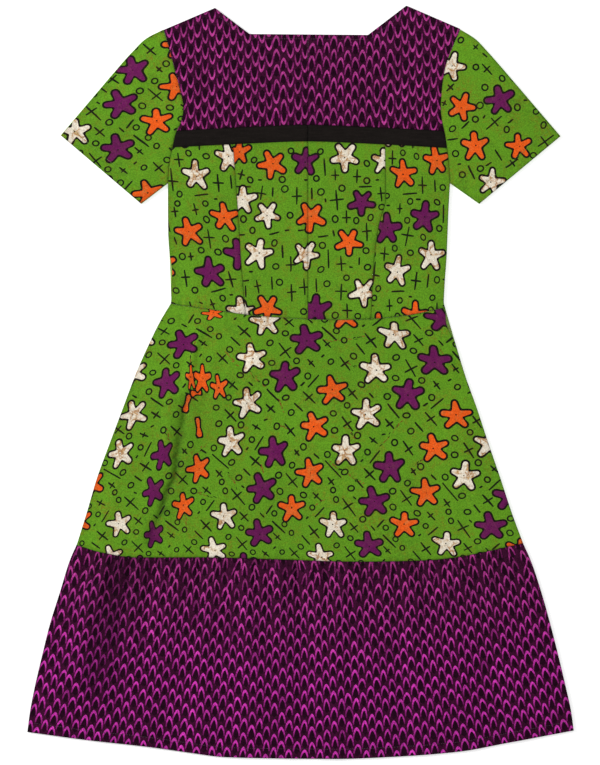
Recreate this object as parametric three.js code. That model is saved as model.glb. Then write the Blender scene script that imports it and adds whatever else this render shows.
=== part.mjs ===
// A short-sleeved a-line dress laid flat on its front, seen from its back.
// Units are millimetres. X runs across the dress, Y from the hem (-Y) to the
// neck (+Y), Z up from the surface it lies on. The origin is the middle of its
// bounding box, at the bottom.
//
// The front is the lower layer and lies flat on the surface. The back is the
// upper layer and lies on the front, with a little air between them. Both
// sleeves are tubes pressed flat, open at the armhole and at the hem. Every
// piece is a wall of cloth, and pieces keep a small gap at each seam.

import * as THREE from 'three';

// ---- driving sizes -------------------------------------------------------
const WALL = 1.0;           // thickness of the cloth with its turned edges
const GAP = 0.3;            // clearance between two pieces at a seam
const AIR = 1.5;            // height of the air between the layers, at most
const AIR_EDGE = 42;        // distance from the outline where that is reached
const CENTRE_X = 9.8;       // centre back seam
const NECK_FRONT_DROP = 34; // how much deeper the front neckline is cut
const MAX_LIFT = 3.3;       // highest that the upper layer stands off

const UPPER = WALL + GAP;   // underside of the upper layer where it lies flat
const HALF = GAP / 2;

// Neck and shoulder line, from armhole to armhole.
const NECKLINE = [
  { x: -182.2, y: 468.6, at: 'left armhole' },
  { x: -113.8, y: 497.9, at: 'left neck point' },
  { x: -68.0, y: 463.2, at: 'left corner' },
  { x: 89.6, y: 461.9, at: 'right corner' },
  { x: 140.6, y: 500.9, at: 'right neck point' },
  { x: 212.4, y: 469.9, at: 'right armhole' },
];

// Armhole seams, from the shoulder to the underarm.
const ARMHOLE = [
  { y: 469.0, left: -182.2, right: 212.4 },
  { y: 444.0, left: -174.4, right: 201.4 },
  { y: 416.0, left: -167.4, right: 191.8 },
  { y: 389.0, left: -160.2, right: 187.8 },
  { y: 364.0, left: -155.6, right: 186.3 },
  { y: 346.2, left: -158.7, right: 188.3 },
  { y: 333.0, left: -165.2, right: 191.4 },
  { y: 312.5, left: -170.2, right: 194.6 },
  { y: 291.0, left: -174.4, right: 197.2 },
  { y: 265.1, left: -176.4, right: 198.7 },
];

// Side seams of the bodice, from the underarm to the waist.
const BODICE_SIDE = [
  { y: 265.1, left: -176.4, right: 198.7 },
  { y: 231.8, left: -176.4, right: 196.8 },
  { y: 199.9, left: -176.1, right: 195.5 },
  { y: 168.0, left: -174.2, right: 194.2 },
  { y: 136.1, left: -172.9, right: 191.9 },
  { y: 106.0, left: -171.8, right: 190.2 },
];

// Side seams of the skirt, from the waist to the flounce.
const SKIRT_SIDE = [
  { y: 106.0, left: -171.8, right: 190.2 },
  { y: 82.9, left: -185.7, right: 196.8 },
  { y: 50.9, left: -201.6, right: 206.2 },
  { y: 8.4, left: -220.2, right: 219.1 },
  { y: -34.2, left: -236.2, right: 234.3 },
  { y: -76.7, left: -252.2, right: 248.3 },
  { y: -129.9, left: -271.6, right: 266.5 },
  { y: -172.5, left: -284.1, right: 280.5 },
  { y: -215.1, left: -297.4, right: 296.3 },
];

// Side seams of the flounce, from its seam to the hem.
const FLOUNCE_SIDE = [
  { y: -215.1, left: -297.4, right: 296.3 },
  { y: -236.3, left: -306.7, right: 305.8 },
  { y: -278.9, left: -320.0, right: 320.1 },
  { y: -321.5, left: -333.3, right: 332.1 },
  { y: -364.0, left: -343.9, right: 342.9 },
  { y: -406.6, left: -353.8, right: 353.0 },
  { y: -438.5, left: -359.9, right: 359.9 },
  { y: -465.0, left: -363.4, right: 363.4 },
];

// Cross seams: the two edges of the band under the yoke.
const BAND = [
  { x: -178.0, top: 333.6, bottom: 312.0 },
  { x: -80.6, top: 338.9, bottom: 316.9 },
  { x: 8.5, top: 342.2, bottom: 320.3 },
  { x: 99.0, top: 338.9, bottom: 316.9 },
  { x: 200.0, top: 333.6, bottom: 311.2 },
];

// Waist seam.
const WAIST = [
  { x: -172.4, y: 104.6 },
  { x: -105.9, y: 94.8 },
  { x: -58.0, y: 88.4 },
  { x: 7.2, y: 84.2 },
  { x: 56.4, y: 83.0 },
  { x: 91.0, y: 84.2 },
  { x: 136.2, y: 88.2 },
  { x: 190.7, y: 99.0 },
];

// Seam where the flounce is gathered onto the skirt.
const FLOUNCE_SEAM = [
  { x: -298.0, y: -216.4 },
  { x: -264.8, y: -226.4 },
  { x: -216.3, y: -233.0 },
  { x: -135.1, y: -232.8 },
  { x: -44.7, y: -235.0 },
  { x: 80.3, y: -238.6 },
  { x: 170.8, y: -236.6 },
  { x: 208.7, y: -232.4 },
  { x: 253.2, y: -223.8 },
  { x: 297.0, y: -213.9 },
];

// Hem.
const HEM = [
  { x: -363.4, y: -465.1 },
  { x: -285.4, y: -475.7 },
  { x: -196.3, y: -485.8 },
  { x: -145.8, y: -493.0 },
  { x: -99.2, y: -498.6 },
  { x: -0.8, y: -500.6 },
  { x: 48.4, y: -500.9 },
  { x: 117.6, y: -498.4 },
  { x: 209.3, y: -491.4 },
  { x: 275.2, y: -479.6 },
  { x: 363.4, y: -463.0 },
];

// Shaping seams of the back bodice, either side of the centre seam.
const PRINCESS = [
  { y: 318.0, left: -89.9, right: 112.3 },
  { y: 245.0, left: -84.6, right: 113.2 },
  { y: 209.2, left: -81.9, right: 104.3 },
  { y: 164.0, left: -79.3, right: 98.0 },
  { y: 86.0, left: -72.6, right: 93.6 },
];

// Sleeves: shoulder edge from the seam to the hem, and the underarm edge.
const SLEEVE = {
  left: {
    shoulder: [
      { along: 0.00, x: -182.2, y: 469.0 },
      { along: 0.14, x: -205.6, y: 456.4 },
      { along: 0.28, x: -225.0, y: 437.5 },
      { along: 1.00, x: -318.7, y: 328.2 },
    ],
    underarm: [
      { along: 0.00, x: -176.4, y: 265.1 },
      { along: 1.00, x: -212.3, y: 237.5 },
    ],
  },
  right: {
    shoulder: [
      { along: 0.00, x: 212.4, y: 469.0 },
      { along: 0.14, x: 232.4, y: 456.0 },
      { along: 0.28, x: 249.0, y: 438.8 },
      { along: 1.00, x: 345.3, y: 327.0 },
    ],
    underarm: [
      { along: 0.00, x: 198.7, y: 265.1 },
      { along: 1.00, x: 237.8, y: 237.5 },
    ],
  },
};

// Places where a side seam has rolled to the back, so that a strip of the
// front shows beside it.
const SEAM_ROLL = [
  { side: 'left', y: 148, reach: 26, by: 2.4 },
  { side: 'right', y: 76, reach: 24, by: 4.6 },
];

// Largest folds of the upper layer: soft ridges between two ends.
const FOLDS = [
  { x0: -166, y0: -22, x1: -184, y1: -122, wide: 17, high: 1.7 },
  { x0: -184, y0: -122, x1: -208, y1: -196, wide: 15, high: 1.4 },
  { x0: -134, y0: 70, x1: -152, y1: -20, wide: 12, high: 1.0 },
  { x0: 206, y0: 30, x1: 232, y1: -60, wide: 14, high: 0.9 },
  { x0: 60, y0: -60, x1: 96, y1: -215, wide: 34, high: 0.7 },
];

// Soft pleats of the flounce, from its seam towards the hem: where each one
// starts and ends across the width, and how high it stands.
const PLEATS = [
  { top: -262, hem: -312, wide: 15, high: 1.5 },
  { top: -214, hem: -262, wide: 12, high: 1.2 },
  { top: -163, hem: -196, wide: 16, high: 1.4 },
  { top: -112, hem: -136, wide: 13, high: 1.1 },
  { top: -64, hem: -76, wide: 17, high: 1.5 },
  { top: -12, hem: -16, wide: 14, high: 1.2 },
  { top: 37, hem: 44, wide: 16, high: 1.4 },
  { top: 88, hem: 104, wide: 13, high: 1.1 },
  { top: 141, hem: 166, wide: 17, high: 1.5 },
  { top: 192, hem: 230, wide: 13, high: 1.2 },
  { top: 244, hem: 296, wide: 15, high: 1.5 },
];

// ---- curves through the tables --------------------------------------------
// Value of one column against another, on a smooth curve that doesn't
// overshoot its rows. Past either end it keeps the end value.
function curve(rows, from, to) {
  const r = rows.slice().sort((a, b) => a[from] - b[from]);
  const u = r.map((q) => q[from]);
  const v = r.map((q) => q[to]);
  const n = u.length;
  const d = [];
  for (let i = 0; i < n - 1; i++) d.push((v[i + 1] - v[i]) / (u[i + 1] - u[i]));
  const m = [d[0]];
  for (let i = 1; i < n - 1; i++) {
    if (d[i - 1] * d[i] <= 0) m.push(0);
    else {
      const a = u[i] - u[i - 1];
      const b = u[i + 1] - u[i];
      const w1 = 2 * b + a;
      const w2 = b + 2 * a;
      m.push((w1 + w2) / (w1 / d[i - 1] + w2 / d[i]));
    }
  }
  m.push(d[n - 2]);
  return (q) => {
    if (q <= u[0]) return v[0];
    if (q >= u[n - 1]) return v[n - 1];
    let i = 0;
    while (q > u[i + 1]) i++;
    const h = u[i + 1] - u[i];
    const t = (q - u[i]) / h;
    const t2 = t * t;
    const t3 = t2 * t;
    return v[i] * (2 * t3 - 3 * t2 + 1) + m[i] * h * (t3 - 2 * t2 + t)
      + v[i + 1] * (3 * t2 - 2 * t3) + m[i + 1] * h * (t3 - t2);
  };
}

// Straight lines through the rows, for edges with sharp corners.
function line(rows, from, to) {
  return (q) => {
    if (q <= rows[0][from]) return rows[0][to];
    for (let i = 0; i < rows.length - 1; i++) {
      const a = rows[i];
      const b = rows[i + 1];
      if (q <= b[from]) return a[to] + (b[to] - a[to]) * (q - a[from]) / (b[from] - a[from]);
    }
    return rows[rows.length - 1][to];
  };
}

const clamp = (v, a, b) => Math.min(b, Math.max(a, v));
const smooth = (t) => { const c = clamp(t, 0, 1); return c * c * (3 - 2 * c); };

const armhole = { left: curve(ARMHOLE, 'y', 'left'), right: curve(ARMHOLE, 'y', 'right') };
const bodice = { left: curve(BODICE_SIDE, 'y', 'left'), right: curve(BODICE_SIDE, 'y', 'right') };
const skirt = { left: curve(SKIRT_SIDE, 'y', 'left'), right: curve(SKIRT_SIDE, 'y', 'right') };
const flounce = { left: curve(FLOUNCE_SIDE, 'y', 'left'), right: curve(FLOUNCE_SIDE, 'y', 'right') };
const princess = { left: curve(PRINCESS, 'y', 'left'), right: curve(PRINCESS, 'y', 'right') };
const bandTop = curve(BAND, 'x', 'top');
const bandBottom = curve(BAND, 'x', 'bottom');
const waist = curve(WAIST, 'x', 'y');
const flounceSeam = curve(FLOUNCE_SEAM, 'x', 'y');
const hem = curve(HEM, 'x', 'y');
const neck = line(NECKLINE, 'x', 'y');

// Side of the body at a height: armhole above the underarm, side seam below.
function side(which, y) {
  if (y >= 265.1) return armhole[which](y);
  if (y >= 106.0) return bodice[which](y);
  if (y >= -215.1) return skirt[which](y);
  return flounce[which](y);
}

// How far the upper layer's side edge stands in from the lower one.
function roll(which, y) {
  let r = 0;
  for (const s of SEAM_ROLL) {
    if (s.side === which) r = Math.max(r, s.by * smooth(1 - Math.abs(y - s.y) / s.reach));
  }
  return r;
}

// ---- how high the upper layer stands over the lower one --------------------
// Outline of the whole garment, for the distance to its edge.
const OUTLINE = [];
for (const p of NECKLINE) OUTLINE.push([p.x, p.y]);
for (const p of SLEEVE.right.shoulder.slice(1)) OUTLINE.push([p.x, p.y]);
OUTLINE.push([SLEEVE.right.underarm[1].x, SLEEVE.right.underarm[1].y]);
for (let y = 265; y > -463; y -= 26) OUTLINE.push([side('right', y), y]);
for (const p of HEM.slice().reverse()) OUTLINE.push([p.x, p.y]);
for (let y = -450; y < 266; y += 26) OUTLINE.push([side('left', y), y]);
OUTLINE.push([SLEEVE.left.underarm[1].x, SLEEVE.left.underarm[1].y]);
for (const p of SLEEVE.left.shoulder.slice(1).reverse()) OUTLINE.push([p.x, p.y]);

function toSegment(px, py, ax, ay, bx, by) {
  const dx = bx - ax;
  const dy = by - ay;
  const t = clamp(((px - ax) * dx + (py - ay) * dy) / (dx * dx + dy * dy), 0, 1);
  return { away: Math.hypot(px - ax - t * dx, py - ay - t * dy), along: t };
}

function edgeDistance(x, y) {
  let best = Infinity;
  for (let i = 0; i < OUTLINE.length; i++) {
    const a = OUTLINE[i];
    const b = OUTLINE[(i + 1) % OUTLINE.length];
    best = Math.min(best, toSegment(x, y, a[0], a[1], b[0], b[1]).away);
  }
  return best;
}

function lift(x, y) {
  const inset = smooth(edgeDistance(x, y) / AIR_EDGE);
  let h = AIR * inset;
  for (const f of FOLDS) {
    const s = toSegment(x, y, f.x0, f.y0, f.x1, f.y1);
    h += f.high * Math.exp(-((s.away / f.wide) ** 2)) * inset;
  }
  const seam = flounceSeam(x);
  if (y < seam) {
    const down = clamp((seam - y) / 255, 0, 1);
    const rise = smooth(down / 0.3) * (1 - 0.55 * down);
    const sideIn = smooth(Math.min(x - flounce.left(y), flounce.right(y) - x) / 30);
    for (const p of PLEATS) {
      const cx = p.top + (p.hem - p.top) * down;
      h += p.high * rise * sideIn * Math.exp(-(((x - cx) / p.wide) ** 2));
    }
  }
  return Math.min(h, MAX_LIFT);
}

// ---- solids ---------------------------------------------------------------
function even(n) { return Array.from({ length: n + 1 }, (_, i) => i / n); }

// A point of a panel between a left and a right edge x(y) and a top and a
// bottom edge y(x), at the fraction s across and t down.
function place(e, s, t) {
  let y = e.top(0) + t * (e.bottom(0) - e.top(0));
  let x = 0;
  for (let i = 0; i < 60; i++) {
    const a = e.left(y);
    x = a + s * (e.right(y) - a);
    const b = e.top(x);
    const next = b + t * (e.bottom(x) - b);
    y = 0.5 * y + 0.5 * next;
  }
  return [x, y];
}

function meshFrom(name, positions, triangles, material) {
  const g = new THREE.BufferGeometry();
  g.setAttribute('position', new THREE.Float32BufferAttribute(positions, 3));
  g.setIndex(triangles);
  g.computeVertexNormals();
  const m = new THREE.Mesh(g, material);
  m.name = name;
  return m;
}

// A flat-lying panel: a grid of points across and down, doubled into a wall.
// under(x, y) is the height of its underside.
function panel(name, e, across, down, under, material) {
  const pos = [];
  const tri = [];
  const nu = across.length;
  const nv = down.length;
  for (let k = 0; k < 2; k++) {
    for (const t of down) {
      for (const s of across) {
        const [x, y] = place(e, s, t);
        pos.push(x, y, under(x, y) + k * WALL);
      }
    }
  }
  const at = (k, j, i) => k * nu * nv + j * nu + i;
  for (let j = 0; j < nv - 1; j++) {
    for (let i = 0; i < nu - 1; i++) {
      const lo = [at(0, j, i), at(0, j, i + 1), at(0, j + 1, i + 1), at(0, j + 1, i)];
      const hi = [at(1, j, i), at(1, j, i + 1), at(1, j + 1, i + 1), at(1, j + 1, i)];
      tri.push(lo[0], lo[1], lo[2], lo[0], lo[2], lo[3]);
      tri.push(hi[0], hi[2], hi[1], hi[0], hi[3], hi[2]);
    }
  }
  const wall = (a, b) => {
    // a, b: [k=0 index, k=1 index], walking with the solid on the right
    tri.push(a[0], a[1], b[1], a[0], b[1], b[0]);
  };
  const col = (j, i) => [at(0, j, i), at(1, j, i)];
  for (let i = 0; i < nu - 1; i++) {
    wall(col(0, i), col(0, i + 1));
    wall(col(nv - 1, i + 1), col(nv - 1, i));
  }
  for (let j = 0; j < nv - 1; j++) {
    wall(col(j + 1, 0), col(j, 0));
    wall(col(j, nu - 1), col(j + 1, nu - 1));
  }
  return meshFrom(name, pos, tri, material);
}

const edges = (left, right, top, bottom) => ({
  left: (y) => left(y) + HALF,
  right: (y) => right(y) - HALF,
  top: (x) => top(x) - HALF,
  bottom: (x) => bottom(x) + HALF,
});

// Rows down the panels beside the armholes. The sleeves meet the body at the
// same rows, so that both sides of the armhole seam have the same edge.
const YOKE_ROWS = [0, 0.18, 0.39, 0.59, 0.71, 0.81, 0.905, 1];
const BAND_ROWS = [0, 1];
const UNDERARM_ROW = 2;
const BODICE_ROWS = [0, 0.1, 0.2214, 0.33, 0.44, 0.55, 0.65, 0.74, 0.82, 0.91, 1];

function armholePoints(which) {
  const edge = (y) => side(which, y);
  const plain = { left: edge, right: edge };
  const pts = [];
  const add = (top, bottom, rows) => {
    for (const t of rows) pts.push(place({ ...plain, top, bottom }, 0, t));
  };
  add(neck, bandTop, YOKE_ROWS);
  add(bandTop, bandBottom, BAND_ROWS.slice(1));
  add(bandBottom, waist, BODICE_ROWS.slice(1, UNDERARM_ROW + 1));
  return pts;
}

// A sleeve pressed flat: rings of an outer and an inner loop, from the
// armhole to the hem. The lower half lies on the surface.
function sleeve(name, which, nAlong, material) {
  const t = SLEEVE[which];
  const out = which === 'left' ? -1 : 1;
  const stations = armholePoints(which).map((p) => [p[0] + out * HALF, p[1]]);
  const n = stations.length;
  const run = [0];
  for (let i = 1; i < n; i++) {
    run.push(run[i - 1] + Math.hypot(stations[i][0] - stations[i - 1][0], stations[i][1] - stations[i - 1][1]));
  }
  const share = run.map((v) => v / run[n - 1]);
  const hole = (r) => {
    let i = 0;
    while (i < n - 2 && r > share[i + 1]) i++;
    const k = (r - share[i]) / (share[i + 1] - share[i]);
    return [0, 1].map((c) => stations[i][c] + k * (stations[i + 1][c] - stations[i][c]));
  };
  const top = [{ along: 0, x: hole(0)[0], y: hole(0)[1] }, ...t.shoulder.slice(1)];
  const low = [{ along: 0, x: hole(1)[0], y: hole(1)[1] }, ...t.underarm.slice(1)];
  const edge = (rows, s) => [line(rows, 'along', 'x')(s), line(rows, 'along', 'y')(s)];
  const hemAt = (r) => [0, 1].map((k) => edge(top, 1)[k] + r * (edge(low, 1)[k] - edge(top, 1)[k]));
  const at = (s, r) => [0, 1].map((k) => (1 - s) * hole(r)[k] + s * hemAt(r)[k]
    + (1 - r) * edge(top, s)[k] + r * edge(low, s)[k]
    - (1 - s) * (1 - r) * hole(0)[k] - (1 - s) * r * hole(1)[k]
    - s * (1 - r) * hemAt(0)[k] - s * r * hemAt(1)[k]);
  const pos = [];
  const tri = [];
  const loop = 2 * n;
  const steps = [0, 0.14, 0.28];
  for (let i = 1; i <= nAlong; i++) steps.push(0.28 + 0.72 * i / nAlong);
  for (const s of steps) {
    const len = Math.hypot(at(s, 1)[0] - at(s, 0)[0], at(s, 1)[1] - at(s, 0)[1]);
    const inset = (WALL + 0.2) / len;
    for (let k = 0; k < 2; k++) {            // outer loop, then inner loop
      for (let j = 0; j < loop; j++) {
        const above = j >= n;
        const r0 = above ? share[loop - 1 - j] : share[j];
        const r = k === 0 ? r0 : clamp(r0, inset, 1 - inset);
        const [x, y] = at(s, r);
        const h = lift(x, y);
        let z;
        if (k === 0) z = above ? UPPER + WALL + h : 0;
        else z = above ? UPPER + h : WALL;
        pos.push(x, y, z);
      }
    }
  }
  const id = (i, k, j) => (i * 2 + k) * loop + ((j + loop) % loop);
  const quad = (a, b, c, d) => {
    if (out < 0) tri.push(a, b, c, a, c, d);
    else tri.push(a, c, b, a, d, c);
  };
  const last = steps.length - 1;
  for (let i = 0; i < last; i++) {
    for (let j = 0; j < loop; j++) {
      quad(id(i, 0, j), id(i, 0, j + 1), id(i + 1, 0, j + 1), id(i + 1, 0, j));
      quad(id(i, 1, j + 1), id(i, 1, j), id(i + 1, 1, j), id(i + 1, 1, j + 1));
    }
  }
  for (let j = 0; j < loop; j++) {
    quad(id(0, 1, j), id(0, 1, j + 1), id(0, 0, j + 1), id(0, 0, j));
    quad(id(last, 0, j), id(last, 0, j + 1), id(last, 1, j + 1), id(last, 1, j));
  }
  return meshFrom(name, pos, tri, material);
}

// ---- materials --------------------------------------------------------------
const cloth = (color, roughness) => new THREE.MeshStandardMaterial({ color, roughness, metalness: 0 });
const GREEN = () => cloth(0x63a022, 0.85);
const PLUM = () => cloth(0x5c2150, 0.8);
const BLACK = () => cloth(0x201c1c, 0.75);

// ---- the pieces --------------------------------------------------------------
const upper = (x, y) => UPPER + lift(x, y);
const lower = () => 0;
const centre = () => CENTRE_X;
const sideL = (y) => side('left', y);
const sideR = (y) => side('right', y);
const backL = (y) => side('left', y) + roll('left', y);
const backR = (y) => side('right', y) - roll('right', y);

const neckFront = line([
  { x: -182.2, y: 468.6 },
  { x: -113.8, y: 497.9 },
  { x: -58.0, y: 463.2 - NECK_FRONT_DROP },
  { x: 80.0, y: 461.9 - NECK_FRONT_DROP },
  { x: 140.6, y: 500.9 },
  { x: 212.4, y: 469.9 },
], 'x', 'y');

// Columns that meet the corners of the neckline.
function columns(xs, from, to) { return xs.map((x) => (x - from) / (to - from)); }

const dress = new THREE.Group();
dress.name = 'a_line_dress';

dress.add(
  // upper layer: the back
  panel('back_yoke_left', edges(backL, centre, neck, bandTop),
    columns([-182.2, -159, -136, -113.8, -98, -83, -68, -42, -16, 9.8], -182.2, 9.8), YOKE_ROWS, upper, PLUM()),
  panel('back_yoke_right', edges(centre, backR, neck, bandTop),
    columns([9.8, 36, 63, 89.6, 106, 123, 140.6, 164, 188, 212.4], 9.8, 212.4), YOKE_ROWS, upper, PLUM()),
  panel('back_band_left', edges(backL, centre, bandTop, bandBottom), even(7), BAND_ROWS, upper, BLACK()),
  panel('back_band_right', edges(centre, backR, bandTop, bandBottom), even(7), BAND_ROWS, upper, BLACK()),
  panel('back_bodice_side_left', edges(backL, princess.left, bandBottom, waist), even(4), BODICE_ROWS, upper, GREEN()),
  panel('back_bodice_centre_left', edges(princess.left, centre, bandBottom, waist), even(4), BODICE_ROWS, upper, GREEN()),
  panel('back_bodice_centre_right', edges(centre, princess.right, bandBottom, waist), even(4), BODICE_ROWS, upper, GREEN()),
  panel('back_bodice_side_right', edges(princess.right, backR, bandBottom, waist), even(4), BODICE_ROWS, upper, GREEN()),
  panel('back_skirt', edges(backL, backR, waist, flounceSeam), even(36), even(13), upper, GREEN()),
  panel('back_flounce', edges(backL, backR, flounceSeam, hem), even(36), even(9), upper, PLUM()),
  // sleeves
  sleeve('sleeve_left', 'left', 6, GREEN()),
  sleeve('sleeve_right', 'right', 6, GREEN()),
  // lower layer: the front
  panel('front_yoke', edges(sideL, sideR, neckFront, bandTop),
    columns([-182.2, -159, -136, -113.8, -86, -58, -12, 34, 80, 110, 140.6, 164, 188, 212.4], -182.2, 212.4),
    YOKE_ROWS, lower, PLUM()),
  panel('front_band', edges(sideL, sideR, bandTop, bandBottom), even(12), BAND_ROWS, lower, BLACK()),
  panel('front_bodice', edges(sideL, sideR, bandBottom, waist), even(10), BODICE_ROWS, lower, GREEN()),
  panel('front_skirt', edges(sideL, sideR, waist, flounceSeam), even(18), even(9), lower, GREEN()),
  panel('front_flounce', edges(sideL, sideR, flounceSeam, hem), even(18), even(7), lower, PLUM()),
);

export default dress;
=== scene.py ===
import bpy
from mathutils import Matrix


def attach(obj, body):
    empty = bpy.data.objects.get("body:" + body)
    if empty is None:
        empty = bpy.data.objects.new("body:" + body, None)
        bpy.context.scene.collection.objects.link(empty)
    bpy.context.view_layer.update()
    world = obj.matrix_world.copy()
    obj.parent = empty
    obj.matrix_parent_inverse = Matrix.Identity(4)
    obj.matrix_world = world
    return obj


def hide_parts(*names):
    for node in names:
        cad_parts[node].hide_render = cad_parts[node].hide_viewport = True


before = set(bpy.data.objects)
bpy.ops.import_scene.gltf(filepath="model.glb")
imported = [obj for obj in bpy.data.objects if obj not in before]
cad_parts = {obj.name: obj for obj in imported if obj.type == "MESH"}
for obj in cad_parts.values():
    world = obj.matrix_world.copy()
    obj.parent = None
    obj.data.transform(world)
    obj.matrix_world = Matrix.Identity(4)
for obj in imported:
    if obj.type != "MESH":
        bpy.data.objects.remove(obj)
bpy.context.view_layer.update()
import math
import random

import bpy
import numpy as np
from mathutils import Vector, geometry

scene = bpy.context.scene

# ---- camera, straight over the dress -----------------------------------------
cam_data = bpy.data.cameras.new("camera")
cam_data.sensor_width = 36.0
cam_data.lens = 36.0 * 8.0 / 1.01745
cam_data.clip_end = 60.0
cam = bpy.data.objects.new("camera", cam_data)
cam.location = (-0.0008, -0.00027, 8.0)
scene.collection.objects.link(cam)
scene.camera = cam

# ---- sizes in millimetres, as in the construction ----------------------------
WALL, GAP, AIR, AIR_EDGE = 1.0, 0.3, 1.5, 42.0
CENTRE_X, NECK_FRONT_DROP, MAX_LIFT = 9.8, 34.0, 3.3
HALF = 0.03                 # the panels all but touch along their seams
CLOTH = 0.8                 # thickness of the cloth that shows
TOP0 = 2.3                  # top of the upper layer where it lies flat

NECKLINE = [(-182.2, 468.6), (-113.8, 497.9), (-68.0, 463.2), (89.6, 461.9), (140.6, 500.9), (212.4, 469.9)]
NECKFRONT = [(-182.2, 468.6), (-113.8, 497.9), (-58.0, 429.2), (80.0, 427.9), (140.6, 500.9), (212.4, 469.9)]
ARMHOLE = [(469.0, -182.2, 212.4), (444.0, -174.4, 201.4), (416.0, -167.4, 191.8), (389.0, -160.2, 187.8),
           (364.0, -155.6, 186.3), (346.2, -158.7, 188.3), (333.0, -165.2, 191.4), (312.5, -170.2, 194.6),
           (291.0, -174.4, 197.2), (265.1, -176.4, 198.7)]
BODICE = [(265.1, -176.4, 198.7), (231.8, -176.4, 196.8), (199.9, -176.1, 195.5), (168.0, -174.2, 194.2),
          (136.1, -172.9, 191.9), (106.0, -171.8, 190.2)]
SKIRT = [(106.0, -171.8, 190.2), (82.9, -185.7, 196.8), (50.9, -201.6, 206.2), (8.4, -220.2, 219.1),
         (-34.2, -236.2, 234.3), (-76.7, -252.2, 248.3), (-129.9, -271.6, 266.5), (-172.5, -284.1, 280.5),
         (-215.1, -297.4, 296.3)]
FLOUNCE = [(-215.1, -297.4, 296.3), (-236.3, -306.7, 305.8), (-278.9, -320.0, 320.1), (-321.5, -333.3, 332.1),
           (-364.0, -343.9, 342.9), (-406.6, -353.8, 353.0), (-438.5, -359.9, 359.9), (-465.0, -363.4, 363.4)]
BAND = [(-178.0, 333.6, 312.0), (-80.6, 338.9, 316.9), (8.5, 342.2, 320.3), (99.0, 338.9, 316.9), (200.0, 333.6, 311.2)]
WAIST = [(-172.4, 104.6), (-105.9, 94.8), (-58.0, 88.4), (7.2, 84.2), (56.4, 83.0), (91.0, 84.2), (136.2, 88.2), (190.7, 99.0)]
FLOUNCE_SEAM = [(-298.0, -216.4), (-264.8, -226.4), (-216.3, -233.0), (-135.1, -232.8), (-44.7, -235.0),
                (80.3, -238.6), (170.8, -236.6), (208.7, -232.4), (253.2, -223.8), (297.0, -213.9)]
HEM = [(-363.4, -465.1), (-285.4, -475.7), (-196.3, -485.8), (-145.8, -493.0), (-99.2, -498.6), (-0.8, -500.6),
       (48.4, -500.9), (117.6, -498.4), (209.3, -491.4), (275.2, -479.6), (363.4, -463.0)]
PRINCESS = [(318.0, -89.9, 112.3), (245.0, -84.6, 113.2), (209.2, -81.9, 104.3), (164.0, -79.3, 98.0), (86.0, -72.6, 93.6)]
SLEEVE = {
    "left": ([(0.0, -182.2, 469.0), (0.14, -205.6, 456.4), (0.28, -225.0, 437.5), (1.0, -318.7, 328.2)],
             [(0.0, -176.4, 265.1), (1.0, -212.3, 237.5)]),
    "right": ([(0.0, 212.4, 469.0), (0.14, 232.4, 456.0), (0.28, 249.0, 438.8), (1.0, 345.3, 327.0)],
              [(0.0, 198.7, 265.1), (1.0, 237.8, 237.5)]),
}
SEAM_ROLL = [("left", 148.0, 26.0, 2.4), ("right", 76.0, 24.0, 4.6)]
FOLDS = [(-166, -22, -184, -122, 17, 1.7), (-184, -122, -208, -196, 15, 1.4), (-134, 70, -152, -20, 12, 1.0),
         (206, 30, 232, -60, 14, 0.9), (60, -60, 96, -215, 34, 0.7)]
PLEATS = [(-262, -312, 15, 1.5), (-214, -262, 12, 1.2), (-163, -196, 16, 1.4), (-112, -136, 13, 1.1),
          (-64, -76, 17, 1.5), (-12, -16, 14, 1.2), (37, 44, 16, 1.4), (88, 104, 13, 1.1), (141, 166, 17, 1.5),
          (192, 230, 13, 1.2), (244, 296, 15, 1.5)]

# ---- the printed repeat of the green cloth, charted ---------------------------
# One repeat holds twelve stars; A and B step it across and down the cloth.
REPEAT_A = (158.3, -25.3)
REPEAT_B = (-77.1, -255.4)
REPEAT_STARS = [  # kind, x, y, radius, turn
    ('O', 18.2, -120.4, 19.3, 102), ('O', -9.9, -168.0, 19.3, 89), ('O', -28.8, -270.2, 19.3, 98),
    ('O', -52.7, -315.4, 19.3, 104), ('P', 126.7, -114.9, 20.3, 98), ('P', 107.3, -161.2, 20.3, 102),
    ('P', 97.6, -225.9, 20.3, 95), ('P', 66.7, -273.3, 20.3, 89), ('W', 66.7, -93.6, 19.6, 92),
    ('W', 49.2, -193.6, 19.6, 90), ('W', 25.6, -242.5, 19.6, 90), ('W', 15.6, -301.6, 19.6, 100),
]
REPEAT_RINGS = [  # x, y
    (9, -86), (96, -95), (45, -97), (-7, -109), (66, -121), (75, -143), (50, -145), (132, -146), (8, -150),
    (54, -158), (133, -168), (20, -168), (-20, -186), (91, -186), (123, -198), (-13, -203), (72, -214), (-2, -225),
    (51, -225), (-31, -232), (-25, -240), (51, -253), (83, -254), (8, -263), (97, -275), (45, -277), (-10, -290),
    (-28, -300), (67, -301), (74, -321), (-26, -322), (4, -330), (54, -337),
]
REPEAT_CROSSES = [  # x, y, turn of the long stroke, its length
    (149, -88, -52, 23), (0, -93, -51, 20), (100, -124, -46, 22), (-8, -129, -53, 26), (47, -133, -49, 20),
    (27, -153, -44, 16), (72, -169, -57, 31), (78, -198, -55, 19), (20, -203, -55, 24), (-35, -207, -52, 15),
    (-30, -217, -55, 17), (-13, -235, -54, 22), (69, -238, -59, 26), (102, -258, -49, 14), (-3, -275, -49, 19),
    (-60, -278, -48, 23), (46, -313, -49, 17), (-9, -314, -54, 24), (26, -335, -36, 14),
]
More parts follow.
